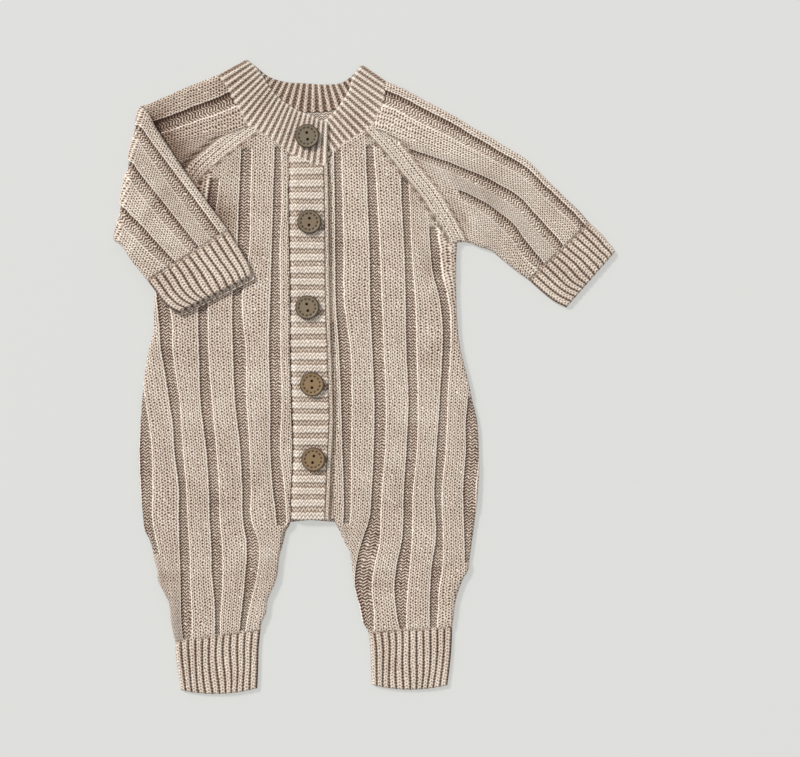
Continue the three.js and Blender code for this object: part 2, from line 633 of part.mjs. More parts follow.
// The neckband, one strip from the left front end round both shoulders to the right one

function neckRow(seam, edge, share, shape) {
  const a = along(seam, share);
  const b = along(edge, share);
  const place = (key, across, z) => ({ key, at: [...mixPoint(a, b, across), z] });
  if (shape.back) {
    const top = neckBackThin + shape.rib * neckBackRise;
    return {
      outer: [place(0, 0, 0), place(9, 1, 0)],
      inner: [place(0, 0, neckBackThin - 0.3), place(2, 0.1, top), place(7, 0.92, top),
        place(9, 1, neckBackThin - 0.3)],
    };
  }
  const under = frontBase + shape.lift * bandTopLift;
  const rise = neckRise * shape.rib * (1 - 0.85 * shape.press);
  const top = under + clothThin + 0.15 + rise;
  const rim = under + clothThin - 0.35;
  return {
    outer: [place(0, 0, rim), place(2, 0.07, top), place(7, 0.9, top), place(9, 1, rim)],
    inner: [place(0, 0, under), place(9, 1, under)],
  };
}

// Rows round a shoulder fold of the neckband, from the front over to the back
function neckFold(a, b, away, upward) {
  const centre = (frontBase + neckBackThin + neckBackRise) / 2;
  const rows = [];
  for (const degrees of [45, 90, 135]) {
    const angle = THREE.MathUtils.degToRad(degrees);
    const outside = mix(ribHeight - centre, centre, degrees / 180);
    const place = (key, across, radius) => {
      const [x, y] = mixPoint(a, b, across);
      const reach = radius * Math.sin(angle) * neckFoldReach;
      return { key, at: [x + away[0] * reach, y + away[1] * reach, centre + radius * Math.cos(angle)] };
    };
    rows.push({
      outer: [place(0, 0, outside), place(2, 0.1, outside), place(7, 0.9, outside), place(9, 1, outside)],
      inner: [place(0, 0, 0.2), place(9, 1, 0.2)],
    });
  }
  return upward ? rows : rows.reverse();
}

function neckRun(seam, edge, ribs, shapeAt) {
  const rows = [];
  for (let i = 0; i <= 2 * ribs; i += 1) {
    const share = i / (2 * ribs);
    rows.push(neckRow(seam, edge, share, { rib: i % 2, lift: 0, press: 0, ...shapeAt(share) }));
  }
  return rows;
}

function neckband() {
  const leftShape = (share) => ({ lift: lookUp(neckLeftLift, share) });
  const rightShape = (share) => ({ press: lookUp(neckRightPress, share) });
  const rows = [
    ...neckRun(neckLeftSeam, neckLeftEdge, neckLeftRibs, leftShape),
    ...neckFold(neckLeftSeam.at(-1), neckLeftEdge.at(-1), neckLeftAway, true),
    ...neckRun(neckBackSeam, neckBackEdge, neckBackRibs, () => ({ back: true })),
    ...neckFold(neckRightSeam[0], neckRightEdge[0], neckRightAway, false),
    ...neckRun(neckRightSeam, neckRightEdge, neckRightRibs, rightShape),
  ];
  return clothWall(rows);
}

// The buttonhole band with its cross ribs, and the button band under it

function frontEdgeAt(rows, y) {
  return lookUp(rows.filter((row) => row.y < 410).map((row) => [row.y, row.inner]), y);
}

function buttonholeBand() {
  const rows = [];
  const pitch = (bandTop - bandBottom) / bandRidges;
  const slope = (1 - bandRidgeShare) / 2;
  const shares = [0, slope * 0.6, slope * 0.6 + bandRidgeShare, 0.5 * slope + bandRidgeShare + slope];
  const heights = [0, 1, 1, 0];
  for (let i = 0; i <= bandRidges; i += 1) {
    for (let k = 0; k < shares.length; k += 1) {
      if (i === bandRidges && k > 0) continue;
      const y = bandBottom + (i + shares[k]) * pitch;
      const left = frontEdgeAt(leftRows, y) + seamGap;
      const right = frontEdgeAt(rightRows, y) - bandEndInset;
      const under = frontBase + bandTopLift;
      const top = under + bandThin + heights[k] * bandRidgeRise;
      const place = (key, x, z) => ({ key, at: [x, y, z] });
      rows.push({
        outer: [place(0, left, frontBase + bandRim[0]),
          place(1, left + bandRimWidth, frontBase + bandRim[1]),
          place(2, left + bandStep, top),
          place(7, right - selvedge[0], top),
          place(8, right - selvedge[1], under + bandThin),
          place(9, right - selvedge[2], under + bandThin + selvedgeRise),
          place(10, right, under + bandThin - selvedgeDrop)],
        inner: [place(0, left, frontBase), place(2, left + bandStep, under), place(10, right, under)],
      });
    }
  }
  return clothWall(rows);
}

function buttonBand() {
  const rows = [];
  const between = rightRows.map((row) => row.y).filter((y) => y > bandBottom + 5 && y < bandTop);
  for (const y of [bandBottom, ...between, bandTop]) {
    const right = frontEdgeAt(rightRows, y) - seamGap;
    const place = (key, x, z) => ({ key, at: [x, y, z] });
    rows.push({
      outer: [place(0, underlapLeft, frontBase + underlapThickness),
        place(9, right, frontBase + underlapThickness)],
      inner: [place(0, underlapLeft, frontBase), place(9, right, frontBase)],
    });
  }
  return clothWall(rows);
}

// A flat wooden button with a rounded rim, a shallow dish and two thread holes
function button(turn) {
  const profile = [[0, 0], [0.86, 0], [1, 0.3], [1, 0.72], [0.93, 1], [0.8, 1], [0.72, 0.9], [0, 0.9]];
  const points = profile.map(([r, z]) => new THREE.Vector2(r * buttonRadius, z * buttonHeight));
  const disc = new THREE.LatheGeometry(points, buttonSides);
  disc.rotateX(Math.PI / 2);
  let solid = manifoldFrom(disc);
  for (const end of [-1, 1]) {
    const hole = new THREE.CylinderGeometry(buttonHoleRadius, buttonHoleRadius, 3 * buttonHeight, 8);
    hole.rotateX(Math.PI / 2);
    const angle = THREE.MathUtils.degToRad(90 + turn);
    hole.translate(end * buttonHoleReach * Math.cos(angle), end * buttonHoleReach * Math.sin(angle), 0);
    solid = solid.subtract(manifoldFrom(hole));
  }
  return manifoldGeometry(solid);
}

// Materials and assembly

const romper = new THREE.Group();

function addPiece(name, geometry, color, roughness) {
  const material = new THREE.MeshStandardMaterial({ color, roughness, metalness: 0 });
  const mesh = new THREE.Mesh(geometry, material);
  mesh.name = name;
  romper.add(mesh);
  return mesh;
}

function addCloth(name, geometry) {
  return addPiece(name, geometry, taupe, 0.95);
}

function raglanLine(rows, neckLine, outward) {
  const seam = rows.filter((row) => row.y > armhole - 2).map((row) => [row.side, row.y]);
  return [...neckLine, ...seam.reverse()].map(([x, y]) => [x + outward * sleeveSeamGap, y]);
}

// How far along a sleeve's end its innermost corner lies
function cornerShare(line) {
  const reach = line.map(([x]) => Math.abs(x));
  const corner = reach.indexOf(Math.min(...reach));
  const lengths = lineLengths(line);
  return lengths[corner] / lengths.at(-1);
}

function sleeveRows(rows, frontCurve, backCurve, bend, profile) {
  const corner = cornerShare(frontCurve);
  return rows.map((row) => tubeRow(row, { frontCurve, backCurve, profile, bend, corner }));
}

const flat = (point) => point;
const straightCurve = [[0, 0], [1, 0]];

const backSideLine = (side, outward) => [...backUpperRows].reverse()
  .map((row) => [row[side] + outward * sleeveSeamGap, row.y]);
const leftFrontCurve = raglanLine(leftRows, [[-71.5, 466.8], [-65, 458], [-59, 447], [-52, 434]], -1);
const leftBackCurve = [[-71.5, 466.8], [-60, 457.5], ...backSideLine('left', -1), [-110.6, 341]];
const rightFrontCurve = raglanLine(rightRows, [[51.5, 462.5], [51.5, 454], [49.5, 444], [45, 434]], 1);
const rightBackCurve = [[51.5, 462.5], [42, 456], ...backSideLine('right', 1), [107.1, 341]];

const backHalves = [backHalf(leftRows, 1), backHalf(rightRows, -1)].map(manifoldFrom);
addCloth('back', manifoldGeometry(backHalves[0].add(backHalves[1])));
addCloth('front_left', clothWall(leftRows.map((row) => frontRow(row, 1))));
addCloth('front_right', clothWall(rightRows.map((row) => frontRow(row, -1))));
addCloth('neckband', neckband());
addCloth('button_band', buttonBand());
addCloth('buttonhole_band', buttonholeBand());

addCloth('sleeve_right', clothTube(
  sleeveRows(rightSleeveRows, rightFrontCurve, rightBackCurve, flat, stripProfile),
));
addCloth('sleeve_cuff_right', clothTube(
  sleeveRows(rightCuffRows, straightCurve, straightCurve, flat, ribProfile(sleeveCuffRibs, cuffRise)),
));

const foldRows = [];
for (let i = 0; i <= foldSteps; i += 1) {
  const past = (foldTurn * i) / foldSteps;
  const move = ([x, y]) => [x + past * foldNormal[0], y + past * foldNormal[1]];
  const turn = i / foldSteps;
  foldRows.push({ shoulder: move(creaseTop), underarm: move(creaseBottom), strips: leftFoldStrips, turn });
}
const leftNearRows = leftSleeveRows.map((row) => ({ ...row, turn: 0 }));
const leftFlatRows = [...leftNearRows, ...foldRows, ...leftFoldedRows.map(unfoldedRow)];
addCloth('sleeve_left', clothTube(
  sleeveRows(leftFlatRows, leftFrontCurve, leftBackCurve, foldOver, stripProfile),
));
addCloth('sleeve_cuff_left', clothTube(
  sleeveRows(leftCuffRows.map(unfoldedRow), straightCurve, straightCurve, foldOver,
    ribProfile(sleeveCuffRibs, cuffRise)),
));

const hem = (rows) => rows.map((row, index) => {
  const last = index === rows.length - 1;
  return { ...row, sag: last ? legHemSag : 0 };
});
addCloth('leg_cuff_left', clothTube(
  sleeveRows(hem(leftLegCuffRows), straightCurve, straightCurve, flat, ribProfile(legCuffRibs, cuffRise)),
));
addCloth('leg_cuff_right', clothTube(
  sleeveRows(hem(rightLegCuffRows), straightCurve, straightCurve, flat, ribProfile(legCuffRibs, cuffRise)),
));

buttonPlaces.forEach(([x, y], index) => {
  const mesh = addPiece(`button_${index + 1}`, button(buttonTurns[index]), wood, 0.6);
  const seat = frontBase + bandTopLift + bandThin + bandRidgeRise + layerGap;
  mesh.position.set(x, y, seat);
});

// The origin is the middle of the outline, on the surface
const outline = new THREE.Box3().setFromObject(romper);
romper.position.set(
  -(outline.min.x + outline.max.x) / 2,
  -(outline.min.y + outline.max.y) / 2,
  -outline.min.z,
);

export default romper;
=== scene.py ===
import json
import math

import bpy
import numpy as np
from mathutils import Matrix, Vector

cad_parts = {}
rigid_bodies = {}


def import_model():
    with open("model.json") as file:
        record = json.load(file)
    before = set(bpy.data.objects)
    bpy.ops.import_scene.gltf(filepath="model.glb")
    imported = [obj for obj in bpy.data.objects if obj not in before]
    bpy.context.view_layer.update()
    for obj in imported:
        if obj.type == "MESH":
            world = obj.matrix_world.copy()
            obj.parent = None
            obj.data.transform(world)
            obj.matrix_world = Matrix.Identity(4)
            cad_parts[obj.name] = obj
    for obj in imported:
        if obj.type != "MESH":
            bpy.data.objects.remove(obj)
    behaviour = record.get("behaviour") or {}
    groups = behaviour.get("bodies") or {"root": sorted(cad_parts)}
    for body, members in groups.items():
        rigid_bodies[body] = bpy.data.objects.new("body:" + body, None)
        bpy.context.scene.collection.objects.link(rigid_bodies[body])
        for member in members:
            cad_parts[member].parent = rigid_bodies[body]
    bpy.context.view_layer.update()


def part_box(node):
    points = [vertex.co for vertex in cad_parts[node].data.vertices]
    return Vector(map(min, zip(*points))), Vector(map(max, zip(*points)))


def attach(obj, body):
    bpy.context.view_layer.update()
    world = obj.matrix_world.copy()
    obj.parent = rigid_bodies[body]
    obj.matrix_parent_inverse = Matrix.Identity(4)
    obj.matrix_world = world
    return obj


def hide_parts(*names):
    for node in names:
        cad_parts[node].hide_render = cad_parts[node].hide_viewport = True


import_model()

# A knitted baby romper laid flat. Places are in millimetres on the drawing of the garment:
# x across the chest, y up from the leg hems, z up from the surface.
mm = 0.001
buttonLow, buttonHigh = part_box("button_3")
drawingShift = np.array([(buttonLow.x + buttonHigh.x) / 2 / mm + 5.5, (buttonLow.y + buttonHigh.y) / 2 / mm - 292, 0])

knit = {
    "waleWidth": 3.45,       # one stitch across
    "courseHeight": 2.3,     # one stitch up
    "raglanWale": 3.3,
    "columns": 4,            # mesh columns in a stitch
    "rows": 3,               # mesh rows in a stitch
    "relief": 0.5,           # how deep the stitches are
    "purlRelief": 0.6,
    "ribRise": 1.35,         # ribs over purl strips
    "ribCrown": 0.7,         # roundness of a wide rib
    "ribLip": 0.3,           # bulge of the last wale beside a strip
}
layers = {
    "frontBase": 2.5,        # underside of the fronts
    "cloth": 1.75,           # thickness at the bottom of a purl strip
    "sideRoll": 3.4,         # how far a folded side rounds over
    "seamRoll": 1.3,
    "seamReach": 0.9,        # cloth runs on this far into a seam
    "seamDip": 0.1,          # share of its thickness that it sinks there
    "bandReach": 1.9,        # the neckband overlaps what it is sewn to by this much
    "cuffReach": 1.4,        # and a cuff runs this far under
    "hemDip": 0.3,
    "floor": 0.03,
}


# Curves and grids

def smoothAt(table, at, column=1):
    # cubic between the table's rows, its slopes taken from the neighbours, straight beyond both ends
    table = np.asarray(table, float)
    keys, values = table[:, 0], table[:, column]
    slopes = np.gradient(values, keys)
    k = np.clip(np.searchsorted(keys, at, side="right") - 1, 0, len(keys) - 2)
    step = keys[k + 1] - keys[k]
    t = (at - keys[k]) / step
    inside = ((1 + 2 * t) * (1 - t) ** 2 * values[k] + t * (1 - t) ** 2 * step * slopes[k]
              + t ** 2 * (3 - 2 * t) * values[k + 1] + t ** 2 * (t - 1) * step * slopes[k + 1])
    before = values[0] + (at - keys[0]) * slopes[0]
    after = values[-1] + (at - keys[-1]) * slopes[-1]
    return np.where(at < keys[0], before, np.where(at > keys[-1], after, inside))


def straightAt(table, at):
    # straight lines between the table's rows
    table = np.asarray(table, float)
    return np.interp(at, table[:, 0], table[:, 1])


def alongLine(line, share):
    # the point at a share of a line's length, on a smooth curve through the line's points
    line = np.asarray(line, float)
    length = np.concatenate([[0], np.cumsum(np.hypot(*np.diff(line, axis=0).T))])
    table = np.column_stack([length, line])
    at = np.asarray(share) * length[-1]
    return np.stack([smoothAt(table, at, 1), smoothAt(table, at, 2)], axis=-1)


def lineLength(line):
    return float(np.hypot(*np.diff(np.asarray(line, float), axis=0).T).sum())


def ease(value):
    # 0 below 0, 1 above 1 and a soft slope between
    value = np.clip(value, 0, 1)
    return value * value * (3 - 2 * value)


def roundEdge(distance, radius):
    # height of a rounded edge: a quarter circle over the last stretch, from 0 to 1
    share = np.clip(distance / radius, 0, 1)
    return np.sqrt(1 - (1 - share) ** 2)


def softWaves(x, y, size, seed):
    # a gentle uneven ground: five sine waves of different lengths and directions, between -1 and 1
    total = np.zeros(np.broadcast(x, y).shape)
    for i in range(5):
        angle = seed * 1.7 + i * 2.4
        length = size * (0.6 + 0.23 * i)
        total += np.sin((x * math.cos(angle) + y * math.sin(angle)) * 2 * math.pi / length + seed * 3.1 + i * 1.3)
    return total / 5


def creaseRelief(x, y, creases):
    # soft troughs and ridges, each a bell curve across its line that fades towards its ends
    total = np.zeros(np.broadcast(x, y).shape)
    for x0, y0, x1, y1, width, height in creases:
        length = math.hypot(x1 - x0, y1 - y0)
        ux, uy = (x1 - x0) / length, (y1 - y0) / length
        forward = ((x - x0) * ux + (y - y0) * uy) / length
        aside = (y - y0) * ux - (x - x0) * uy + 0.06 * length * np.sin(forward * math.pi * 1.3)
        fade = ease(forward * 3 + 0.4) * ease((1 - forward) * 3 + 0.4)
        total += height * np.exp(-(aside / width) ** 2) * fade
    return total


def stitchHeight(wale, course, purl):
    # knit: two round slanted legs in each stitch with a hole beside them once a course; purl: zigzag ridges across
    side = np.abs(wale % 1 - 0.5)
    leg = np.sqrt(np.clip(1 - ((side - 0.25) / 0.25) ** 2, 0, 1))
    beat = 0.5 + 0.5 * np.cos(2 * np.pi * (course - 1.5 * side))
    wave = 0.5 + 0.5 * np.cos(2 * np.pi * (course + 1.5 * side))
    return leg * (0.5 + 0.5 * beat) * (1 - purl) + wave * purl


# Meshes

def buildMesh(name, parts, material):
    # joins grids of points into one mesh; each grid may start and end at its own column in every row
    allPoints, allStitch, allPurl, allShade, allCalm, allLoops, allSizes = [], [], [], [], [], [], []
    offset = 0
    for part in parts:
        points, wale, course, purl = part["points"], part["wale"], part["course"], part["purl"]
        rows, columns = wale.shape
        first = part.get("first", np.zeros(rows, int))
        last = part.get("last", np.full(rows, columns - 1))
        index = np.arange(rows)[:, None] * columns + np.clip(np.arange(columns)[None], first[:, None], last[:, None])
        a, b, c, d = index[:-1, :-1], index[:-1, 1:], index[1:, 1:], index[1:, :-1]
        if part.get("flip"):
            b, d = d, b
        corners = np.stack([a, b, c, d], axis=-1).reshape(-1, 4)
        same = corners == np.roll(corners, -1, axis=1)
        quads = corners[same.sum(axis=1) == 0]
        slim = corners[same.sum(axis=1) == 1]
        triangles = slim[~same[same.sum(axis=1) == 1]].reshape(-1, 3)
        loops = np.concatenate([quads.ravel(), triangles.ravel()])
        used, compact = np.unique(loops, return_inverse=True)
        allPoints.append(points.reshape(-1, 3)[used])
        allStitch.append(np.column_stack([wale.ravel()[used], course.ravel()[used]]))
        allPurl.append(np.broadcast_to(purl, wale.shape).ravel()[used])
        allShade.append(np.broadcast_to(part.get("shade", 0.0), wale.shape).ravel()[used])
        allCalm.append(np.broadcast_to(part.get("calm", 0.0), wale.shape).ravel()[used])
        allLoops.append(compact.ravel() + offset)
        allSizes.append(np.concatenate([np.full(len(quads), 4), np.full(len(triangles), 3)]))
        offset += len(used)
    points = (np.concatenate(allPoints) + drawingShift) * mm
    loops, sizes = np.concatenate(allLoops), np.concatenate(allSizes)
    stitch, purl = np.concatenate(allStitch), np.concatenate(allPurl)
    mesh = bpy.data.meshes.new(name)
    mesh.vertices.add(len(points))
    mesh.vertices.foreach_set("co", points.astype(np.float32).ravel())
    mesh.loops.add(len(loops))
    mesh.loops.foreach_set("vertex_index", loops.astype(np.int32))
    mesh.polygons.add(len(sizes))
    mesh.polygons.foreach_set("loop_start", np.concatenate([[0], np.cumsum(sizes)[:-1]]).astype(np.int32))
    uv = mesh.uv_layers.new(name="stitch")
    uv.data.foreach_set("uv", stitch[loops].astype(np.float32).ravel())
    shade, calm = np.concatenate(allShade), np.concatenate(allCalm)
    for attribute, values in (("purl", purl), ("shade", shade), ("calm", calm)):
        mesh.attributes.new(attribute, "FLOAT", "POINT").data.foreach_set("value", values.astype(np.float32))
    mesh.update(calc_edges=True)
    mesh.validate()
    mesh.shade_smooth()
    piece = bpy.data.objects.new(name, mesh)
    bpy.context.scene.collection.objects.link(piece)
    piece.data.materials.append(material)
    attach(piece, "root")
    return piece


def mergeEdges(piece, distance=0.02):
    # sews the grids of one piece together where their edge points meet
    import bmesh
    work = bmesh.new()
    work.from_mesh(piece.data)
    rim = [v for v in work.verts if v.is_boundary]
    bmesh.ops.remove_doubles(work, verts=rim, dist=distance * mm)
    work.to_mesh(piece.data)
    work.free()
    piece.data.shade_smooth()


def ribColumns(strips, at, before, after, wales=(2, 5), soft=0.2, slope=(0.32, 0.2)):
    # wale numbers of a panel's mesh columns and where each lies, straight between the strips' edges; shadow is
    # painted shade, a bell curve at a strip's first edge and a straight slope across it, with a painted highlight just
    # before it
    stripWales, ribWales = wales
    edges, numbers = [], []
    wale = float(before)
    for strip in strips:
        edges += [smoothAt(strip, at, 1), smoothAt(strip, at, 2)]
        numbers += [wale, wale + stripWales]
        wale += stripWales + ribWales
    total = numbers[-1] + after
    columns = np.arange(0, total * knit["columns"] + 1) / knit["columns"]
    pitch = knit["waleWidth"]
    across = edges[0][:, None] + np.minimum(columns[None] - numbers[0], 0) * pitch
    for k in range(len(numbers) - 1):
        count = numbers[k + 1] - numbers[k]
        share = np.clip(columns[None] - numbers[k], 0, count) / count
        across = across + share * (edges[k + 1] - edges[k])[:, None]
    across = across + np.maximum(columns[None] - numbers[-1], 0) * pitch
    inStrip = np.full(columns.shape, -9.0)
    shadow = np.zeros(columns.shape)
    for k in range(0, len(numbers), 2):
        middle = (numbers[k] + numbers[k + 1]) / 2
        inStrip = np.maximum(inStrip, stripWales / 2 - np.abs(columns - middle))
        acrossStrip = (columns - numbers[k]) / stripWales
        shadow += np.exp(-((columns - numbers[k] - 0.1) / soft) ** 2)
        shadow -= 0.9 * np.exp(-((columns - numbers[k] + 0.35) / 0.17) ** 2)
        shadow += (slope[0] + slope[1] * acrossStrip) * (np.abs(acrossStrip - 0.5) < 0.56)
    return columns, across, inStrip, shadow


def ribRelief(inStrip, half=2.5):
    # height over a strip's floor: inStrip is how many wales inside a purl strip, below 0 on a rib
    out = -inStrip
    rise = ease(out / 0.6 + 0.42) * knit["ribRise"]
    lip = knit["ribLip"] * np.exp(-((out - 0.45) / 0.4) ** 2)
    crown = knit["ribCrown"] * np.clip(1 - np.abs(out - half) / half, 0, 1) ** 0.7 * (out > 0)
    return rise + lip + crown


def edgeLight(inStrip):
    # the last wale beside a strip is smooth and gets a painted highlight, with a painted dark line of shade behind it
    out = -inStrip
    bright = 0.34 * np.exp(-((out - 0.3) / 0.16) ** 2)
    return bright - 0.1 * np.exp(-((out - 0.55) / 0.15) ** 2)


def trimColumns(across, low, high):
    # the first and last column of each row, moved on to the panel's edges
    first = np.argmax(across > low[:, None] + 0.3, axis=1) - 1
    last = across.shape[1] - np.argmax(across[:, ::-1] < high[:, None] - 0.3, axis=1)
    first, last = np.maximum(first, 0), np.minimum(last, across.shape[1] - 1)
    rows = np.arange(len(low))
    across[rows, first] = low
    across[rows, last] = high
    return first, last


# Materials

def calc(tree, operation, *values):
    node = tree.nodes.new("ShaderNodeMath")
    node.operation = operation
    for socket, value in zip(node.inputs, values):
        if isinstance(value, (int, float)):
            socket.default_value = value
        else:
            tree.links.new(value, socket)
    return node.outputs[0]


def blendColor(tree, share, first, second):
    node = tree.nodes.new("ShaderNodeMix")
    node.data_type = "RGBA"
    for socket, value in ((node.inputs[0], share), (node.inputs[6], first), (node.inputs[7], second)):
        if isinstance(value, (int, float, tuple)):
            socket.default_value = value
        else:
            tree.links.new(value, socket)
    return node.outputs[2]


def stitchGroup():
    # the stitch pattern from wale, course and purl: Height as in stitchHeight, Light from holes to crowns
    tree = bpy.data.node_groups.new("stitchPattern", "ShaderNodeTree")
    for name in ("Wale", "Course", "Purl", "Shade", "Calm"):
        tree.interface.new_socket(name, in_out="INPUT", socket_type="NodeSocketFloat")
    for name in ("Height", "Light"):
        tree.interface.new_socket(name, in_out="OUTPUT", socket_type="NodeSocketFloat")
    given = tree.nodes.new("NodeGroupInput").outputs
    result = tree.nodes.new("NodeGroupOutput").inputs
    turn = 2 * math.pi

    def wave(phase):
        return calc(tree, "MULTIPLY_ADD", calc(tree, "COSINE", calc(tree, "MULTIPLY", phase, turn)), 0.5, 0.5)

    def blend(share, first, second):
        node = tree.nodes.new("ShaderNodeMix")
        for socket, value in zip(node.inputs[0:1] + node.inputs[2:4], (share, first, second)):
            tree.links.new(value, socket)
        return node.outputs[0]

    side = calc(tree, "ABSOLUTE", calc(tree, "SUBTRACT", calc(tree, "FRACT", given["Wale"]), 0.5))
    aside = calc(tree, "MULTIPLY_ADD", side, 4.0, -1.0)
    leg = calc(tree, "MAXIMUM", calc(tree, "SUBTRACT", 1.0, calc(tree, "MULTIPLY", aside, aside)), 0.0)
    beat = wave(calc(tree, "MULTIPLY_ADD", side, -1.5, given["Course"]))
    zigzag = wave(calc(tree, "MULTIPLY_ADD", side, 1.5, given["Course"]))
    face = calc(tree, "MULTIPLY", calc(tree, "SQRT", leg), calc(tree, "MULTIPLY_ADD", beat, 0.5, 0.5))
    between = calc(tree, "POWER", wave(given["Wale"]), 3.0)
    inside = calc(tree, "POWER", calc(tree, "SUBTRACT", 1.0, wave(given["Wale"])), 3.0)
    dot = wave(given["Course"])
    hole = calc(tree, "MULTIPLY", between, calc(tree, "MULTIPLY_ADD", dot, 0.8, 0.2))
    gap = calc(tree, "MULTIPLY", inside, calc(tree, "MULTIPLY_ADD", dot, -0.8, 1.0))
    bright = calc(tree, "MULTIPLY_ADD", hole, -yarn["holeShare"], 1.0)
    bright = calc(tree, "MULTIPLY_ADD", gap, -yarn["gapShare"], bright)
    bright = calc(tree, "MULTIPLY_ADD", calc(tree, "SUBTRACT", 1.0, beat), -yarn["beatShare"], bright)
    ridge = calc(tree, "MULTIPLY_ADD", zigzag, yarn["purlShare"], 1.03 - yarn["purlShare"])
    corner = wave(calc(tree, "MULTIPLY", given["Wale"], 2.0))
    ridge = calc(tree, "MULTIPLY", ridge, calc(tree, "MULTIPLY_ADD", corner, -yarn["cornerShare"], 1.0))
    tree.links.new(blend(given["Purl"], face, zigzag), result["Height"])
    light = blend(given["Purl"], bright, ridge)
    held = calc(tree, "MULTIPLY", given["Calm"], calc(tree, "SUBTRACT", yarn["calmTone"], light))
    tree.links.new(calc(tree, "ADD", calc(tree, "ADD", light, held), given["Shade"]), result["Light"])
    return tree


yarn = {
    "tones": [(0.0, (0.062, 0.029, 0.020, 1)), (0.28, (0.258, 0.166, 0.117, 1)), (0.58, (0.55, 0.434, 0.346, 1)),
              (0.8, (0.80, 0.702, 0.598, 1)), (1.0, (0.975, 0.908, 0.828, 1))],    # from painted shade in the holes to painted light on the crowns
    "holeShare": 1.05,       # how much painted shade darkens the holes between stitches
    "gapShare": 0.85,        # and the middle of a stitch
    "beatShare": 0.3,        # and its far end
    "purlShare": 0.92,       # how much painted shade darkens a purl strip between its ridges
    "cornerShare": 0.25,     # and at the turns of its zigzag
    "calmTone": 0.56,        # tone towards which the pattern is held back
    "wobble": 0.8,           # unevenness of the stitches
    "patches": 0.16,         # slow changes of tone
    "fuzz": 0.12,
    "roughness": 0.92,
    "sheen": 0.2,
}


def yarnMaterial(name, pattern, light=0.0):
    material = bpy.data.materials.new(name)
    material.use_nodes = True
    tree = material.node_tree
    shader = tree.nodes["Principled BSDF"]
    shader.inputs["Sheen Weight"].default_value = yarn["sheen"]
    shader.inputs["Sheen Roughness"].default_value = 0.6
    shader.inputs["Specular IOR Level"].default_value = 0.12
    uv = tree.nodes.new("ShaderNodeUVMap")
    uv.uv_map = "stitch"
    split = tree.nodes.new("ShaderNodeSeparateXYZ")
    tree.links.new(uv.outputs[0], split.inputs[0])
    place = tree.nodes.new("ShaderNodeTexCoord").outputs["Object"]

    def noise(scale, detail):
        node = tree.nodes.new("ShaderNodeTexNoise")
        node.inputs["Scale"].default_value = scale
        node.inputs["Detail"].default_value = detail
        tree.links.new(place, node.inputs["Vector"])
        return node.outputs["Fac"]

    def attribute(title):
        node = tree.nodes.new("ShaderNodeAttribute")
        node.attribute_name = title
        return node.outputs["Fac"]

    wobble = calc(tree, "MULTIPLY_ADD", noise(300, 2), yarn["wobble"], -yarn["wobble"] / 2)
    patch = calc(tree, "MULTIPLY_ADD", noise(45, 4), 2 * yarn["patches"], light - yarn["patches"])
    fiber = calc(tree, "MULTIPLY_ADD", noise(900, 2), 2 * yarn["fuzz"], -yarn["fuzz"])
    group = tree.nodes.new("ShaderNodeGroup")
    group.node_tree = pattern
    tree.links.new(calc(tree, "ADD", split.outputs[0], wobble), group.inputs["Wale"])
    tree.links.new(calc(tree, "ADD", split.outputs[1], wobble), group.inputs["Course"])
    tree.links.new(attribute("purl"), group.inputs["Purl"])
    tree.links.new(attribute("calm"), group.inputs["Calm"])
    uneven = calc(tree, "ADD", patch, fiber)
    tree.links.new(calc(tree, "ADD", attribute("shade"), uneven), group.inputs["Shade"])
    ramp = tree.nodes.new("ShaderNodeValToRGB")
    stops = ramp.color_ramp.elements
    for number, (at, tone) in enumerate(yarn["tones"]):
        stop = stops[number] if number < 2 else stops.new(at)
        stop.position = at
        stop.color = tone
    tree.links.new(group.outputs["Light"], ramp.inputs[0])
    tree.links.new(ramp.outputs[0], shader.inputs["Base Color"])
    tree.links.new(calc(tree, "ADD", fiber, yarn["roughness"]), shader.inputs["Roughness"])
    bump = tree.nodes.new("ShaderNodeBump")
    bump.inputs["Strength"].default_value = 0.9
    bump.inputs["Distance"].default_value = 0.6 * mm
    tree.links.new(calc(tree, "ADD", fiber, group.outputs["Height"]), bump.inputs["Height"])
    tree.links.new(bump.outputs["Normal"], shader.inputs["Normal"])
    return material


def woodMaterial(name, wood):
    material = bpy.data.materials.new(name)
    material.use_nodes = True
    tree = material.node_tree
    shader = tree.nodes["Principled BSDF"]
    shader.inputs["Specular IOR Level"].default_value = 0.35
    place = tree.nodes.new("ShaderNodeTexCoord").outputs["Object"]
    stretch = tree.nodes.new("ShaderNodeMapping")
    stretch.inputs["Scale"].default_value = (900, 130, 300)
    stretch.inputs["Rotation"].default_value = (0, 0, wood["grainTurn"])
    tree.links.new(place, stretch.inputs["Vector"])
    grain = tree.nodes.new("ShaderNodeTexNoise")
    grain.inputs["Scale"].default_value = 1.0
    grain.inputs["Detail"].default_value = 5
    tree.links.new(stretch.outputs[0], grain.inputs["Vector"])
    burntAndShade = tree.nodes.new("ShaderNodeAttribute")
    burntAndShade.attribute_name = "purl"
    tone = blendColor(tree, grain.outputs["Fac"], wood["dark"], wood["light"])
    # the darkest tone for the burnt dashes and for the painted shade in the button's holes
    tone = blendColor(tree, burntAndShade.outputs["Fac"], tone, wood["burntAndShade"])
    tree.links.new(tone, shader.inputs["Base Color"])
    tree.links.new(calc(tree, "MULTIPLY_ADD", grain.outputs["Fac"], 0.2, 0.42), shader.inputs["Roughness"])
    bump = tree.nodes.new("ShaderNodeBump")
    bump.inputs["Strength"].default_value = 0.35
    bump.inputs["Distance"].default_value = 0.15 * mm
    tree.links.new(grain.outputs["Fac"], bump.inputs["Height"])
    tree.links.new(bump.outputs["Normal"], shader.inputs["Normal"])
    return material


pattern = stitchGroup()
knitCloth = yarnMaterial("knitCloth", pattern, 0.085)
ribCloth = yarnMaterial("ribCloth", pattern, 0.05)
print("materials ready")


# Fronts: edges as (y, x), purl strips as (y, left, right)

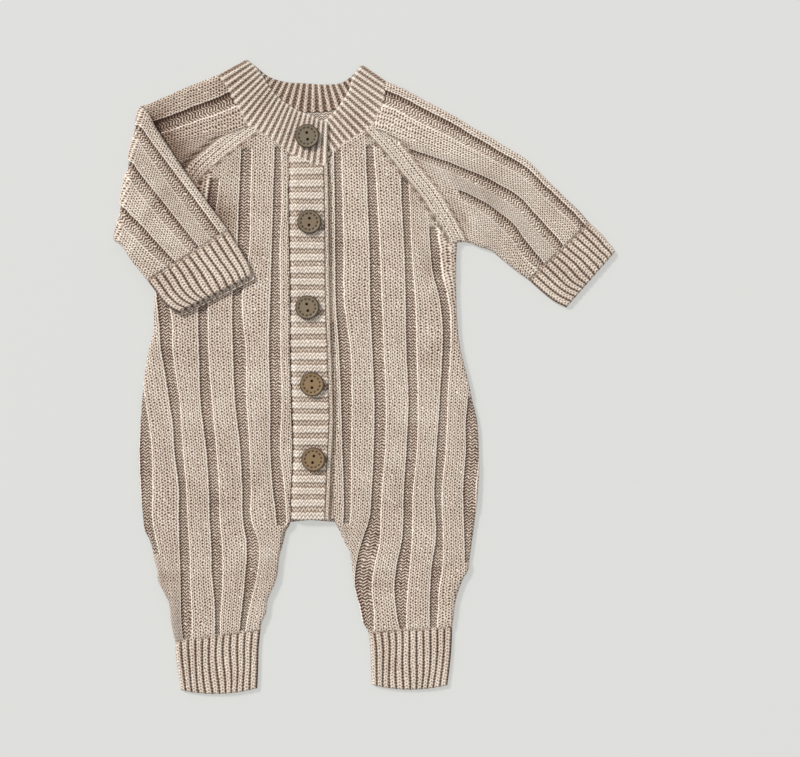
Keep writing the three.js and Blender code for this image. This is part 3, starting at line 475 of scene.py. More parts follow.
leftFront = {
    "side": [(46, -105.2), (58, -108), (73, -110.5), (80, -114), (88, -118), (95, -118.5), (103, -121), (110, -122),
             (118, -124.5), (125, -128), (133, -129), (148, -130.5), (163, -132), (185, -132.5), (207.5, -131),
             (222.5, -130), (238, -128.5), (260, -125), (275, -121.5), (298, -121), (320, -116), (341, -110.3),
             (361.5, -106), (380, -97.5), (396, -87), (409.5, -72.5), (420.5, -58.5), (427.4, -49)],
    "inner": [(46, -41), (52, -40), (58, -37.5), (73, -35), (80, -32), (88, -29), (103, -27), (110, -26),
              (118, -24.5), (125, -23), (130, -19.8), (148, -18.5), (185, -17), (223, -18), (260, -19), (298, -19),
              (341, -19.5), (380, -20), (407, -20), (409.7, -20.5), (415.5, -27.7), (420.5, -35.2), (427.4, -46.5)],
    "rise": [(46, 9), (58, 6), (73, 3), (88, 0.6), (100, 0)],
    "strips": [
        [(106, -122, -117), (133, -129, -122.5), (155, -130, -122.5), (185, -131, -123), (208, -131, -125.5),
         (223, -134, -128), (260, -139, -133)],
        [(43, -98.5, -93), (59, -100, -93), (88, -100.5, -94), (110, -101, -94.5), (133, -101.5, -96),
         (155, -101.5, -97), (185, -105, -99.5), (208, -106.5, -101), (223, -109, -102), (238, -111, -104.5),
         (260, -115, -107.5), (283, -116.5, -108), (298, -118, -111), (341, -122, -115)],
        [(46, -74.5, -71.5), (59, -74.5, -71.5), (73, -75, -70.5), (88, -76.5, -70), (117, -77.5, -70.5),
         (133, -78.5, -72), (155, -79, -72.5), (185, -81, -74.5), (223, -85.5, -78), (260, -86.5, -80.5),
         (290, -87, -81), (341, -84.5, -77.5), (389, -77.5, -72)],
        [(49, -56, -52.5), (59, -55, -51), (73, -53.5, -48), (88, -52, -44.5), (117, -51, -43), (133, -53.5, -48.5),
         (155, -54, -48.5), (185, -55.5, -49.5), (223, -59.5, -52), (260, -61, -52.5), (298, -61.5, -55.5),
         (335, -58, -50), (373, -56.5, -49), (410, -55, -48)],
        [(60, -33, -27), (110, -29, -23), (133, -28.5, -22), (155, -31, -23.5), (185, -33, -26.5), (223, -33, -25.5),
         (260, -34, -26.5), (298, -33, -26.5), (335, -32, -27), (373, -31, -25.5), (416, -29.5, -26)],
    ],
    "stripEnds": [(0, 106, 500), (1, 0, 500), (2, 0, 389), (3, 0, 412), (4, 128, 413)],
    "raglanFrom": 341,
    "creases": [(-128, 96, -96, 86, 5, -0.7), (-60, 118, -30, 104, 5, 0.6), (-118, 262, -78, 250, 8, -0.5),
                (-60, 236, -25, 244, 9, 0.5), (-110, 205, -70, 214, 10, 0.4), (-72, 88, -45, 96, 6, -0.5),
                (-98, 152, -64, 140, 9, -0.4)],
}
rightFront = {
    "side": [(50.5, 103.2), (58, 104), (73, 106), (80, 108), (88, 111), (95, 115), (103, 116), (118, 118), (133, 120),
             (148, 122), (163, 123), (185, 123), (208, 121.5), (223, 118), (238, 115), (260, 109.5), (283, 106.7),
             (305, 106), (330, 106), (341, 106.3), (361.5, 95.5), (380, 83.5), (396, 70.5), (408, 61),
             (417, 53), (428.5, 42.6)],
    "inner": [(50.5, 40), (54, 38), (58, 35.5), (65, 34), (73, 32), (80, 30), (88, 28.5), (95, 28), (103, 27),
              (110, 25.5), (118, 22), (125, 19.5), (130, 16.2), (148, 14), (185, 15.5), (223, 16), (260, 15), (298, 13.5),
              (341, 13), (380, 12.5), (406, 12.5), (408.5, 13), (412.5, 17.3), (417, 23.8), (421.5, 31.8),
              (428.5, 41.2)],
    "rise": [(50.5, -4), (60, -3), (73, -1), (84, -0.2), (100, 0)],
    "strips": [
        [(60, 3, 8), (110, 17, 21), (131, 21.5, 25.5), (155, 22, 26.5), (185, 21, 26.5), (223, 20, 27),
         (260, 18.5, 26), (298, 16, 21), (335, 15.6, 20.8), (373, 15.3, 20), (410, 14.6, 19)],
        [(49, 38, 43.5), (65, 35.5, 43.5), (83, 30.5, 42), (98, 31, 44), (117, 35.5, 48), (133, 41, 48.5),
         (155, 43, 49.5), (185, 44.5, 52), (223, 45, 52.5), (260, 43.5, 51), (298, 42, 49.5), (335, 41.5, 48),
         (373, 40, 46), (414, 38.5, 43)],
        [(49, 64.5, 68), (65, 61.5, 68), (83, 60, 69), (98, 61.5, 70.5), (117, 65.5, 72), (155, 67, 73),
         (185, 69, 76), (223, 70.5, 76.5), (260, 69, 75.5), (298, 68.5, 74.5), (335, 67.5, 72), (373, 65.5, 70.5),
         (395, 65, 69)],
        [(55, 86.5, 91), (65, 86.5, 91.5), (83, 87, 92.5), (98, 88, 95), (117, 91, 95.5), (155, 90, 94.5),
         (185, 91.5, 97.5), (223, 94, 99), (298, 94, 99), (320, 88.5, 94), (335, 87, 92.5), (352, 86, 90)],
        [(100, 113, 118), (117, 112.5, 118), (133, 112, 119.5), (155, 111.5, 120), (185, 113.5, 122.5),
         (208, 113.5, 121.5), (223, 115, 121), (260, 119, 125)],
    ],
    "stripEnds": [(0, 129, 412), (1, 0, 414), (2, 0, 391), (3, 0, 353), (4, 100, 226)],
    "raglanFrom": 341,
    "creases": [(30, 112, 62, 94, 6, 0.7), (34, 92, 66, 80, 5, -0.6), (118, 100, 86, 92, 6, -0.6),
                (112, 262, 76, 252, 9, -0.5), (28, 240, 66, 250, 9, 0.4), (104, 330, 80, 318, 6, -0.5),
                (98, 205, 60, 212, 10, 0.4), (40, 150, 74, 138, 9, -0.4), (106, 312, 84, 306, 5, 0.4)],
}


def foldShade(x, y):
    # the cloth is darker beside the edge of the sleeve that is folded over it
    past = ((x + 124) * 0.827 + (y - 437) * 0.563)
    along = ((x + 124) * 0.563 - (y - 437) * 0.827) / 106
    return -0.32 * np.exp(-(np.maximum(past, 0) / 11) ** 2) * ease(along * 6 + 0.5) * ease((1 - along) * 4 + 0.5)


def frontPanel(name, panel, mirror):
    rowStep = knit["courseHeight"] / knit["rows"]
    bottom, top = panel["side"][0][0], panel["side"][-1][0]
    y0 = np.arange(bottom, top + rowStep / 2, rowStep)
    y0[-1] = top
    low, high = smoothAt(panel["side"], y0), smoothAt(panel["inner"], y0)
    if mirror:
        low, high = high, low
    strips = panel["strips"]
    columns, across, inStrip, shadow = ribColumns(strips, y0, 5, 10)
    sewn = (y0 > panel["raglanFrom"]) * layers["seamReach"]
    low, high = low - (0 if mirror else 1) * sewn, high + (1 if mirror else 0) * sewn
    inStrip = np.broadcast_to(inStrip, across.shape).copy()
    for number, start, end in panel["stripEnds"]:        # a strip closes where its own length ends
        middle = 5 + 7 * number + 1
        near = np.abs(columns - middle) < 2.2
        closing = ease((start - y0) / 3 + 0.5) + ease((y0 - end) / 3 + 0.5)
        inStrip[:, near] = inStrip[:, near] - 3 * np.clip(closing, 0, 1)[:, None]
    first, last = trimColumns(across, low, high)
    wide = np.maximum(high - low, 1)[:, None]
    share = (across - low[:, None]) / wide
    tilt = straightAt(panel["rise"], y0)[:, None]
    towards = (share if not mirror else 1 - share) - 0.5
    y = y0[:, None] + tilt * towards
    x = across
    wale = np.broadcast_to(columns, x.shape).copy()
    course = np.broadcast_to((y0 / knit["courseHeight"])[:, None], x.shape).copy()
    sideDistance = np.abs(across - (high if mirror else low)[:, None])
    innerDistance = np.abs(across - (low if mirror else high)[:, None])
    raglan = y0[:, None] > panel["raglanFrom"]
    lean = np.gradient(smoothAt(panel["side"], y0), y0)[:, None]
    slope = np.abs(lean)
    seamDistance = sideDistance / np.sqrt(1 + slope ** 2)
    neckSlope = np.abs(np.gradient(smoothAt(panel["inner"], y0), y0))[:, None]
    neckDistance = innerDistance / np.sqrt(1 + neckSlope ** 2)
    purl = ease(inStrip / 0.3 + 0.5)
    band = raglan & (seamDistance < 2 * knit["raglanWale"])    # plain wales along the raglan seam
    wale = np.where(band, seamDistance / knit["raglanWale"], wale)
    alongSeam = np.cumsum(np.sqrt(1 + slope ** 2), axis=0) * rowStep
    alongSeam = alongSeam + (across - (high if mirror else low)[:, None]) * lean / np.sqrt(1 + slope ** 2)
    course = np.where(band, alongSeam / knit["courseHeight"], course)
    purl = np.where(band, 0, purl)
    bandShare = ease((2 * knit["raglanWale"] - seamDistance) / 1.4 + 0.5) * raglan
    relief = bandShare * (knit["ribRise"] + 0.1) + (1 - bandShare) * ribRelief(inStrip)
    border = np.exp(-((seamDistance - 2 * knit["raglanWale"]) / 0.6) ** 2) * raglan
    marks = np.exp(-((seamDistance - 2.4 * knit["raglanWale"]) / 1.3) ** 2) * raglan
    relief = relief - marks * (0.2 + 0.3 * np.cos(2 * np.pi * course / 3))
    creased = creaseRelief(x, y, panel["creases"])
    # painted light and shade: highlights on the ribs' edges, shadow in the purl strips, lighter crease ridges and
    # darker crease troughs
    shade = (edgeLight(inStrip) - 0.4 * shadow * ease(inStrip * 1.2 + 0.9)) * ~band + 0.14 * creased
    # painted shade in the dents of the decrease marks beside the raglan band, strongest once every three courses
    shade = shade - 0.2 * marks * (1 + np.cos(2 * np.pi * course / 3))
    shade = shade + 0.1 * border
    # painted shade in the grooves between the raglan band's wales, and a darker line on the seam
    shade = shade + band * (0.05 - 0.14 * np.cos(2 * np.pi * wale)) - 0.04 * np.exp(-(seamDistance / 0.5) ** 2) * raglan
    if not mirror:
        shade = shade + foldShade(x, y)
    stitch = stitchHeight(wale, course, purl) - 0.6
    depth = np.where(band, 0.1, knit["relief"] * (1 - purl) + knit["purlRelief"] * purl)
    puckers = np.zeros(x.shape)
    for bx, by in buttons["places"]:
        away = np.hypot(x - bx, (y - by) * 1.4)
        puckers -= 0.7 * np.exp(-((away - 10) / 12) ** 2) * np.cos((y - by) * 0.55) * (away > 6)
    thick = (layers["cloth"] + relief + 0.35 * softWaves(x, y, 90, 1 + mirror)
             + creased + puckers * 0.4 + depth * stitch)
    dip = layers["seamDip"]
    atSide = np.where(raglan, 1 - dip * (1 - roundEdge(seamDistance, layers["seamRoll"])),
                      0.3 + 0.7 * roundEdge(sideDistance, layers["sideRoll"]))
    neckDip = 0.35 * (y0[:, None] > 395)
    atNeck = 1 - np.maximum(dip, neckDip) * (1 - roundEdge(neckDistance, layers["seamRoll"] * (1 + neckDip * 3)))
    atLeg = 0.35 + 0.65 * roundEdge(innerDistance, layers["sideRoll"] * 0.8)
    atHem = 1 - layers["hemDip"] * (1 - roundEdge((y0 - bottom)[:, None], 5))
    z = layers["frontBase"] + thick * atSide * np.where(y0[:, None] < 128, atLeg, atNeck) * atHem
    rows = np.arange(len(y0))
    for columnAt, inward in ((first, 1), (last, -1)):    # the edge turns under
        under = columnAt - inward
        x[rows, under] = x[rows, columnAt] + inward * 0.3
        y[rows, under] = y[rows, columnAt]
        z[rows, under] = layers["frontBase"] + 0.05
    points = np.stack([x, y, z], axis=-1)
    part = {"points": points, "wale": wale, "course": course, "purl": purl, "shade": shade,
            "calm": np.maximum(0.06 * (1 - purl), border), "first": first - 1, "last": last + 1}
    return buildMesh(name, [part], knitCloth)


buttons = {
    "places": [(-5.5, 420), (-4, 356), (-5.5, 292), (-2, 234.5), (-1, 178.5)],
    "turns": [8, -4, 10, 2, -12],
    "radius": 9.0,
    "height": 3.0,
    "seat": 8.05,
    "ring": 6.15,            # radius of the engraved dashes
    "dashes": 13,
    "hole": 0.95,
    "holeReach": 2.5,
}


# Back, in two halves that are sewn together down the middle

back = {
    "upperLeft": [(356, -106), (374, -99.5), (394, -90), (412, -79), (431, -65.5), (449, -53)],
    "upperRight": [(356, 99.5), (374, 89.5), (394, 77), (412, 64.5), (431, 51), (449, 36.5)],
    "drop": [(0, 0), (400, 0), (412, 0.3), (431, 2.2), (449, 6.4)],
    "middle": -4.0,
    "seat": 131.6,
    "legInset": [(44, 0.9), (100, 0.9), (116, -1.0), (128, -1.6), (131, -0.6)],   # inside the fronts' leg edges
}


def backPiece():
    rowStep = 1.6
    parts = []
    for panel, upper, mirror in ((leftFront, "upperLeft", False), (rightFront, "upperRight", True)):
        side = [row for row in panel["side"] if row[0] < 345] + back[upper]
        y0 = np.arange(panel["side"][0][0], 449.01, rowStep)
        y0 = np.arange(44.5, 449.01, rowStep)
        outer = smoothAt(side, y0)
        towards = -1 if mirror else 1
        leg = smoothAt([row for row in panel["inner"] if row[0] < 131], y0) 
        leg = leg - towards * straightAt(back["legInset"], y0)
        legTop = back["seat"]
        middle = np.full(len(y0), back["middle"])
        seam = np.where(y0 < legTop, leg, middle)
        low, high = (outer, seam) if not mirror else (seam, outer)
        for lower in (False, True):
            count = 42
            share = np.linspace(0, 1, count)
            across = low[:, None] + share[None] * (high - low)[:, None]
            rise = straightAt(panel["rise"], y0)[:, None]
            towardsMiddle = share[None] if not mirror else 1 - share[None]
            y = y0[:, None] + rise * (towardsMiddle - 0.5)
            y = y - straightAt(back["drop"], y0)[:, None] * (1 - (1 - towardsMiddle) ** 2)
            wale = np.abs(across - back["middle"]) / knit["waleWidth"]
            course = np.broadcast_to((y0 / knit["courseHeight"])[:, None], across.shape)
            outside = np.abs(across - outer[:, None])
            inside = np.where((y0 < legTop)[:, None], np.abs(across - seam[:, None]), 50)
            ends = np.minimum(y0 - y0[0], y0[-1] - y0)[:, None]
            rounding = roundEdge(outside, 1.6) * roundEdge(inside, 1.2) * roundEdge(ends, 1.2)
            if lower:
                strip = 1.5 - np.abs((wale + 1.2) % 9 - 4.5)
                purl = ease(strip / 0.3 + 0.5)
                relief = 0.35 * (1 - ease(strip + 0.5)) + 0.25 * stitchHeight(wale, course, purl)
                z = 1.1 - (0.45 + relief) * rounding
            else:
                purl = np.ones(across.shape)
                z = 1.1 + (0.85 + 0.3 * (stitchHeight(wale, course, purl) - 0.5)) * rounding
            points = np.stack([across, y, np.broadcast_to(z, across.shape)], axis=-1)
            parts.append({"points": points, "wale": wale, "course": course, "purl": purl, "flip": lower})
    piece = buildMesh("backCloth", parts, knitCloth)
    mergeEdges(piece, 0.05)
    return piece


# Sleeves and cuffs: flat tubes. Across is measured from the shoulder fold to the underarm.

fold = {
    "top": (-126.0, 445.0),
    "bottom": (-145.0, 341.0),
    "centre": 5.7,           # height of the fold's middle
    "neutral": 2.8,          # radius at which the cloth keeps its length
}
foldTop, foldBottom = np.array(fold["top"]), np.array(fold["bottom"])
foldAlong = (foldBottom - foldTop) / np.linalg.norm(foldBottom - foldTop)
foldAway = np.array([foldAlong[1], -foldAlong[0]])
foldTurn = math.pi * fold["neutral"]


def foldOver(points):
    # cloth past the fold line rolls over on a half circle and runs back on top
    past = (points[..., :2] - foldTop) @ foldAway
    radius = fold["centre"] - points[..., 2]
    angle = np.clip(past / fold["neutral"], 0, math.pi)
    reach = radius * np.sin(angle) - np.maximum(0, past - foldTurn)
    move = np.where(past > 0, reach - past, 0)
    height = np.where(past > 0, fold["centre"] - radius * np.cos(angle), points[..., 2])
    return np.concatenate([points[..., :2] + move[..., None] * foldAway, height[..., None]], axis=-1)


def unfold(points):
    points = np.asarray(points, float)
    past = (points - foldTop) @ foldAway
    return points + (foldTurn - 2 * past)[..., None] * foldAway


def ribPlace(rib, centre, widen):
    # where the ribs' columns lie: spread at each rib's centre and close together in the valleys, from 0 to 1
    place = rib + widen * np.sin(2 * np.pi * (rib - centre)) / (2 * np.pi)
    return (place - place[0]) / (place[-1] - place[0])


def ribLight(knitRib, bright, dark, power):
    # narrow ribs are bright on their crowns and dark in the valleys between them
    return bright * knitRib - dark * (1 - knitRib) ** power


def tubePiece(name, tube, material):
    shoulder, underarm = np.asarray(tube["shoulder"], float), np.asarray(tube["underarm"], float)
    length = (lineLength(shoulder) + lineLength(underarm)) / 2
    length = tube.get("length", length)
    rows = int(round(length / knit["courseHeight"] * knit["rows"])) + 1
    s = np.linspace(0, 1, rows)
    start, end = alongLine(shoulder, s), alongLine(underarm, s)
    span = np.hypot(*(end - start).T)
    parts = []
    for lower in (False, True):
        ribs = tube.get("ribs")
        if ribs:
            perWale = knit["columns"]
            count = ribs * 2 * perWale + 1
            columns = np.linspace(0, ribs * 2, count)
            place = ribPlace(columns / 2, 0.25, 0.75)
            place = np.broadcast_to(place, (rows, count))
            sway = tube["sway"] * np.sin(2 * np.pi * (0.7 * s[:, None] + 1.3 * place) + ribs) * s[:, None]
            place = place + sway * 4 * place * (1 - place)
            across = place * span[:, None]
            grow = ease((s[:, None] * length - layers["cuffReach"] - 1.2 * np.sin(columns * 2.7) ** 2) / 2.2 + 0.4)
            knitRib = 0.5 + 0.5 * np.cos(2 * np.pi * (columns / 2 - 0.25))
            purl = np.broadcast_to(ease(1.6 - 2.2 * knitRib), across.shape)
            relief = tube["ribRise"] * (knitRib ** 0.7 * grow + 0.8 * (1 - grow))
            # painted light on the rib crowns and painted shade in their valleys, darker where the ribs start
            shade = ribLight(knitRib, 0.11, 0.85, 3) * grow - 0.08 * (1 - grow)
            first, last = np.zeros(rows, int), np.full(rows, count - 1)
        else:
            strips = [[(at, (middle - width / 2 / sp) * sp, (middle + width / 2 / sp) * sp)
                       for at, middle, width, sp in zip(tube["stripAt"], strip[0], strip[1],
                                                        np.interp(tube["stripAt"], s, span))]
                      for strip in tube["strips"]]
            columns, across, inStrip, shadow = ribColumns(strips, s, tube["before"], tube["after"], tube["wales"],
                                                          0.45, (0.5, -0.42))
            first, last = trimColumns(across, np.zeros(rows), span)
            inStrip = np.broadcast_to(inStrip, across.shape).copy()
            for number, opens in enumerate(tube["opens"]):
                middle = tube["before"] + sum(tube["wales"]) * number + tube["wales"][0] / 2
                near = np.abs(columns - middle) < 2.2
                closing = ease((opens - s) * length / 6 + 0.5)
                inStrip[:, near] = inStrip[:, near] - 3 * closing[:, None]
            purl = ease(inStrip / 0.3 + 0.5)
            relief = ribRelief(inStrip, tube["wales"][1] / 2)
            # painted light and shade: highlights on the ribs' edges and shadow in the purl strips
            shade = edgeLight(inStrip) - (0.34 if lower else 0.37) * shadow * ease(inStrip * 1.2 + 0.9) + tube["light"]
            shade = shade - (0 if lower else tube.get("dim", 0))
        share = np.clip(across / span[:, None], 0, 1)
        base = start[:, None] + share[..., None] * (end - start)[:, None]
        if "ends" in tube:
            curve = tube["ends"][1 if lower else 0]
            bent = alongLine(curve, share)
            chord = np.asarray(curve[0]) + share[..., None] * (np.asarray(curve[-1]) - np.asarray(curve[0]))
            bow = (1 - ease(s / tube["bowLength"]))[:, None, None]
            base = base + bow * (bent - chord)
        if "sag" in tube:
            base[..., 1] -= tube["sag"] * (s ** 3)[:, None] * 4 * share * (1 - share)
        wale = np.broadcast_to(columns, across.shape).copy()
        if "ends" in tube:           # a sleeve runs on into its seam
            inward = base[4] - base[0]
            inward = inward / np.linalg.norm(inward, axis=-1, keepdims=True)
            seamWay = np.gradient(base[0], axis=0)
            seamWay = seamWay / np.maximum(np.linalg.norm(seamWay, axis=-1, keepdims=True), 1e-6)
            sine = np.abs(seamWay[:, 0] * inward[:, 1] - seamWay[:, 1] * inward[:, 0])
            sine = np.clip(sine, 0.35, 1)
            cosine = np.sum(seamWay * inward, axis=-1)
            seamRun = np.concatenate([[0], np.cumsum(np.hypot(*np.diff(base[0], axis=0).T))])
            fading = np.exp(-(s * length / 1.5))[:, None, None]
            base = base - layers["seamReach"] * fading * inward / sine[:, None]
        if ribs:                     # a cuff starts under the cloth above it
            downward = (end[-1] + start[-1] - end[0] - start[0])
            downward = downward / np.linalg.norm(downward)
            base = base - (layers["cuffReach"] * (1 - s) ** 4)[:, None, None] * downward
        steps = np.hypot(*np.moveaxis(np.diff(base, axis=0), 2, 0))
        run = np.concatenate([np.zeros((1, across.shape[1])), np.cumsum(steps, axis=0)])
        course = (run - run[-1:]) / knit["courseHeight"]
        if tube.get("peek") and not lower:
            outward = (start[-1] + end[-1] - start[0] - end[0]) / np.linalg.norm(start[-1] + end[-1] - start[0] - end[0])
            base = base + (tube["peek"] * s ** 5)[:, None, None] * outward
        if "ends" in tube:           # plain wales along the raglan seam
            fromSeam = run * sine
            band = (fromSeam < 2 * knit["raglanWale"]) & (share > tube["corner"])
            wale = np.where(band, fromSeam / knit["raglanWale"], wale)
            course = np.where(band, (seamRun + run * cosine) / knit["courseHeight"], course)
            purl = np.where(band, 0, purl)
            border = np.exp(-((fromSeam - 2 * knit["raglanWale"]) / 0.6) ** 2) * (share > tube["corner"])
            marks = np.exp(-((fromSeam - 2.5 * knit["raglanWale"]) / 1.3) ** 2) * (share > tube["corner"])
            bandShare = ease((2 * knit["raglanWale"] - fromSeam) / 1.4 + 0.5) * (share > tube["corner"])
            relief = bandShare * (knit["ribRise"] + 0.1) + (1 - bandShare) * relief
            bumps = marks * np.cos(2 * np.pi * across / knit["courseHeight"] / 3)
            relief = relief - 0.3 * marks - 0.45 * bumps
            # painted shade in the grooves between the raglan band's wales and in the dents of the decrease marks, and a
            # darker line on the seam
            shade = np.where(band, 0.05 - 0.14 * np.cos(2 * np.pi * wale), shade) + 0.1 * border
            shade = shade - 0.2 * (marks + bumps) - 0.04 * np.exp(-(fromSeam / 0.5) ** 2)
        edge = np.minimum(across, span[:, None] - across)
        dip = layers["seamDip"]
        neckDip = 0.4 * (1 - ease((share - tube.get("corner", -1)) / 0.06 + 0.5)) if "ends" in tube else 0.0
        startRoll = roundEdge((s * length)[:, None], layers["seamRoll"] * (1 + 4 * neckDip))
        endRoll = 1 - (0 if ribs else np.maximum(dip, neckDip)) * (1 - startRoll)
        toEnd = ((1 - s) * length)[:, None]
        if tube.get("hem"):
            endRoll = endRoll * (0.25 + 0.75 * roundEdge(toEnd, 1.8))
        else:
            endRoll = endRoll * (1 - 0.4 * (1 - roundEdge(toEnd, 3)))
        rounding = roundEdge(np.maximum(edge, 0), layers["sideRoll"]) * endRoll
        stitch = stitchHeight(wale, course, purl) - 0.6
        depth = knit["relief"] * (1 - purl) + knit["purlRelief"] * purl
        if "ends" in tube:
            depth = np.where(band, 0.1, depth)
        x, y = base[..., 0], base[..., 1]
        waves = 0.3 * softWaves(x, y, 80, 5)
        middleHeight = 2.25
        if tube.get("turned") is None:
            turn = np.zeros(rows)[:, None]
        else:
            turn = ease((s * length - tube["turned"]) / 9 + 0.5)[:, None]
        shown = turn if lower else 1 - turn
        plain = layers["cloth"] + 0.25 if not lower else 2.2
        creases = creaseRelief(across, (s * length)[:, None], tube.get("creases", []))
        detail = relief + waves + creases + depth * stitch
        # painted shade in the creases' troughs and painted light on their ridges
        shade = shade + 0.14 * creases
        if tube.get("folded") and not lower and not ribs:
            shade = shade + foldShade(x, y)
        lift = (layers["cloth"] - 0.02 if not lower else 1.75) * shown + plain * (1 - shown) + detail * shown
        thick = lift * rounding
        z = middleHeight + thick if not lower else middleHeight - thick
        # where the hem of the hidden layer peeks out, it keeps half of the painted rib light and shade, a little
        # lighter
        hem = (0.5 * shade + 0.08) * (1 - shown) * (toEnd < 4) if tube.get("peek") else 0.0
        points = np.stack([x, y, z], axis=-1)
        if tube.get("folded"):
            past = (points[..., :2] - foldTop) @ foldAway
            level = np.cos(np.clip(past / fold["neutral"], 0, 1.25))
            z = np.maximum(z, fold["centre"] - (fold["centre"] - layers["floor"]) / level)
            points = foldOver(np.stack([x, y, z], axis=-1))
        else:
            points[..., 2] = np.maximum(z, layers["floor"])
        parts.append({"points": points, "wale": wale, "course": course, "purl": purl, "shade": shade * shown + hem,
                      "calm": 0.3 if ribs else np.maximum(0.06 * (1 - purl), border), "flip": lower != tube["mirrored"],
                      "first": first, "last": last})
    piece = buildMesh(name, parts, material)
    mergeEdges(piece)
    return piece


# The raglan seams, on the upper side and on the underside of each sleeve
rightRaglan = [(52.2, 462.8), (52.2, 454), (50.2, 444), (45.7, 434), (44.4, 427.4), (53.7, 417), (61.7, 408), (71.2, 396), (84.2, 380),
               (96.2, 361.5), (107.2, 341)]
rightRaglanBack = [(52.2, 462.8), (42.7, 456), (37.2, 449.2), (51.7, 431), (65.2, 412), (77.7, 394), (90.2, 374),
                   (100.2, 356), (107.8, 341)]
leftRaglan = [(-72.2, 466.8), (-65.7, 458), (-59.7, 447), (-52.7, 434), (-50.2, 428.4), (-59.2, 420.5), (-73.2, 409.5), (-87.7, 396),
              (-98.2, 380), (-106.7, 361.5), (-110.7, 341)]
leftRaglanBack = [(-72.2, 466.8), (-60.7, 457.5), (-53.7, 449.2), (-66.2, 431), (-79.7, 412), (-90.7, 394), (-100.2, 374),
                  (-106.7, 356), (-111.3, 341)]

rightSleeve = {
    "shoulder": [(52.8, 462.6), (66.7, 456.7), (79, 450), (93, 442.5), (105, 436), (118.8, 427.5), (131, 421),
                 (143.2, 413.2), (154, 407), (162, 401), (174, 388.5), (182, 381), (191, 372), (198, 365.5), (206, 356)],
    "underarm": [(107.5, 341), (110.7, 341.3), (114, 341.2), (118.9, 339.7), (124, 337.5), (132, 335), (139, 329.5), (146.2, 323.6),
                 (152, 319), (160.5, 313)],
    "ends": [rightRaglan, rightRaglanBack],
    "bowLength": 0.75,
    "corner": 0.27,
    "light": 0.04,
    "length": 165.0,
    "wales": (2, 6),
    "stripAt": [0, 0.17, 0.33, 0.5, 0.67, 0.83, 1],
    "strips": [[[0.085, 0.095, 0.10, 0.115, 0.12, 0.115, 0.11], [8.5, 8.5, 8, 7, 7, 6, 5]],
               [[0.40, 0.385, 0.38, 0.395, 0.42, 0.45, 0.48], [9, 9, 10, 10, 9, 8, 6.5]],
               [[0.66, 0.645, 0.62, 0.655, 0.70, 0.755, 0.79], [9, 9, 10, 10.5, 10, 8.5, 6.5]]],
    "opens": [-1, 0.10, 0.27],
    "before": 4,
    "after": 14,
    "mirrored": False,
    "creases": [(20, 30, 70, 46, 7, 0.5), (60, 42, 100, 30, 6, -0.6), (75, 60, 92, 40, 5, 0.5), (20, 78, 60, 90, 8, -0.4),
                (84, 26, 118, 20, 5, -0.6)],
}
rightCuff = {
    "shoulder": [(206.6, 355.5), (212, 350.5), (217, 345.5), (220, 341.5), (224, 337), (225.5, 334.2)],
    "underarm": [(161, 312.5), (167, 307), (174, 301), (181, 296), (188.8, 292.3)],
    "ribs": 12, "ribRise": 1.1, "sway": 0.02, "mirrored": False, "hem": True,
}


def joinFold(flat, folded):
    # a line that runs flat to the fold and is then laid out flat again beyond it
    return list(map(tuple, flat)) + [tuple(p) for p in unfold(folded)]


leftSleeve = {
    "shoulder": joinFold([(-73, 467.2), (-84, 462.8), (-98, 457.3), (-112, 451), (-126, 445)],
                         [(-124, 437), (-120, 429), (-107, 408.5), (-93.5, 389), (-79, 369), (-64.5, 349.5)]),
    "underarm": joinFold([(-111.6, 341.4), (-120, 340.5), (-129, 340.5), (-137, 340.8), (-145, 341)],
                         [(-143.4, 337.5), (-141.5, 334), (-138, 328.5), (-134, 323), (-129.5, 317.5), (-125, 312)]),
    "ends": [leftRaglan, leftRaglanBack],
    "bowLength": 0.45,
    "corner": 0.30,
    "light": 0.03,
    "length": 165.0,
    "wales": (2, 5),
    "stripAt": [0, 0.17, 0.33, 0.5, 0.67, 0.83, 1],
    "strips": [[[0.14, 0.16, 0.18, 0.165, 0.155, 0.145, 0.14], [8.5, 8.5, 8.5, 8.5, 8.5, 8, 7]],
               [[0.38, 0.40, 0.43, 0.45, 0.44, 0.42, 0.40], [8.5, 8.5, 8.5, 9.5, 9.5, 8.5, 7]],
               [[0.64, 0.66, 0.72, 0.78, 0.76, 0.73, 0.69], [8.5, 8.5, 9, 10, 9.5, 8.5, 7]]],
    "opens": [-1, 0.25, 0.32],
    "before": 5,
    "after": 12,
    "mirrored": True,
    "folded": True,
    "turned": 62.0,
    "dim": 0.16,             # the part beside the fold lies in its shade
    "creases": [(30, 100, 80, 116, 8, 0.5), (10, 120, 50, 108, 6, -0.5), (60, 78, 100, 92, 7, -0.5), (12, 20, 60, 30, 7, 0.4)],
}
leftCuff = {
    "shoulder": [tuple(p) for p in unfold([(-64.1, 348.8), (-60, 342), (-55, 334), (-50.5, 326), (-47.8, 319), (-47, 316)])],
    "underarm": [tuple(p) for p in unfold([(-124.6, 311.4), (-119, 304), (-114.5, 297.5), (-108, 291.5), (-101.5, 288.6)])],
    "ribs": 12, "ribRise": 1.1, "sway": 0.02, "mirrored": True, "hem": True, "folded": True, "turned": -20.0, "peek": 3.4,
}
leftLegCuff = {
    "shoulder": [(-105.2, 41.4), (-104.6, 30), (-103, 18), (-100.8, 4.6)],
    "underarm": [(-40.8, 50.4), (-42.2, 38), (-42.8, 20), (-43.4, 6.2)],
    "ribs": 12, "ribRise": 1.1, "sway": 0.02, "mirrored": True, "hem": True, "sag": 3.5,
}
rightLegCuff = {
    "shoulder": [(39.9, 48.2), (41.3, 38), (42, 22), (42.7, 8.7)],
    "underarm": [(103.1, 52.4), (102.7, 40), (101.2, 22), (99.4, 8.5)],
    "ribs": 12, "ribRise": 1.1, "sway": 0.02, "mirrored": True, "hem": True, "sag": 3.5,
}


# Neckband: one strip from the buttons round the left shoulder, the back and the right shoulder

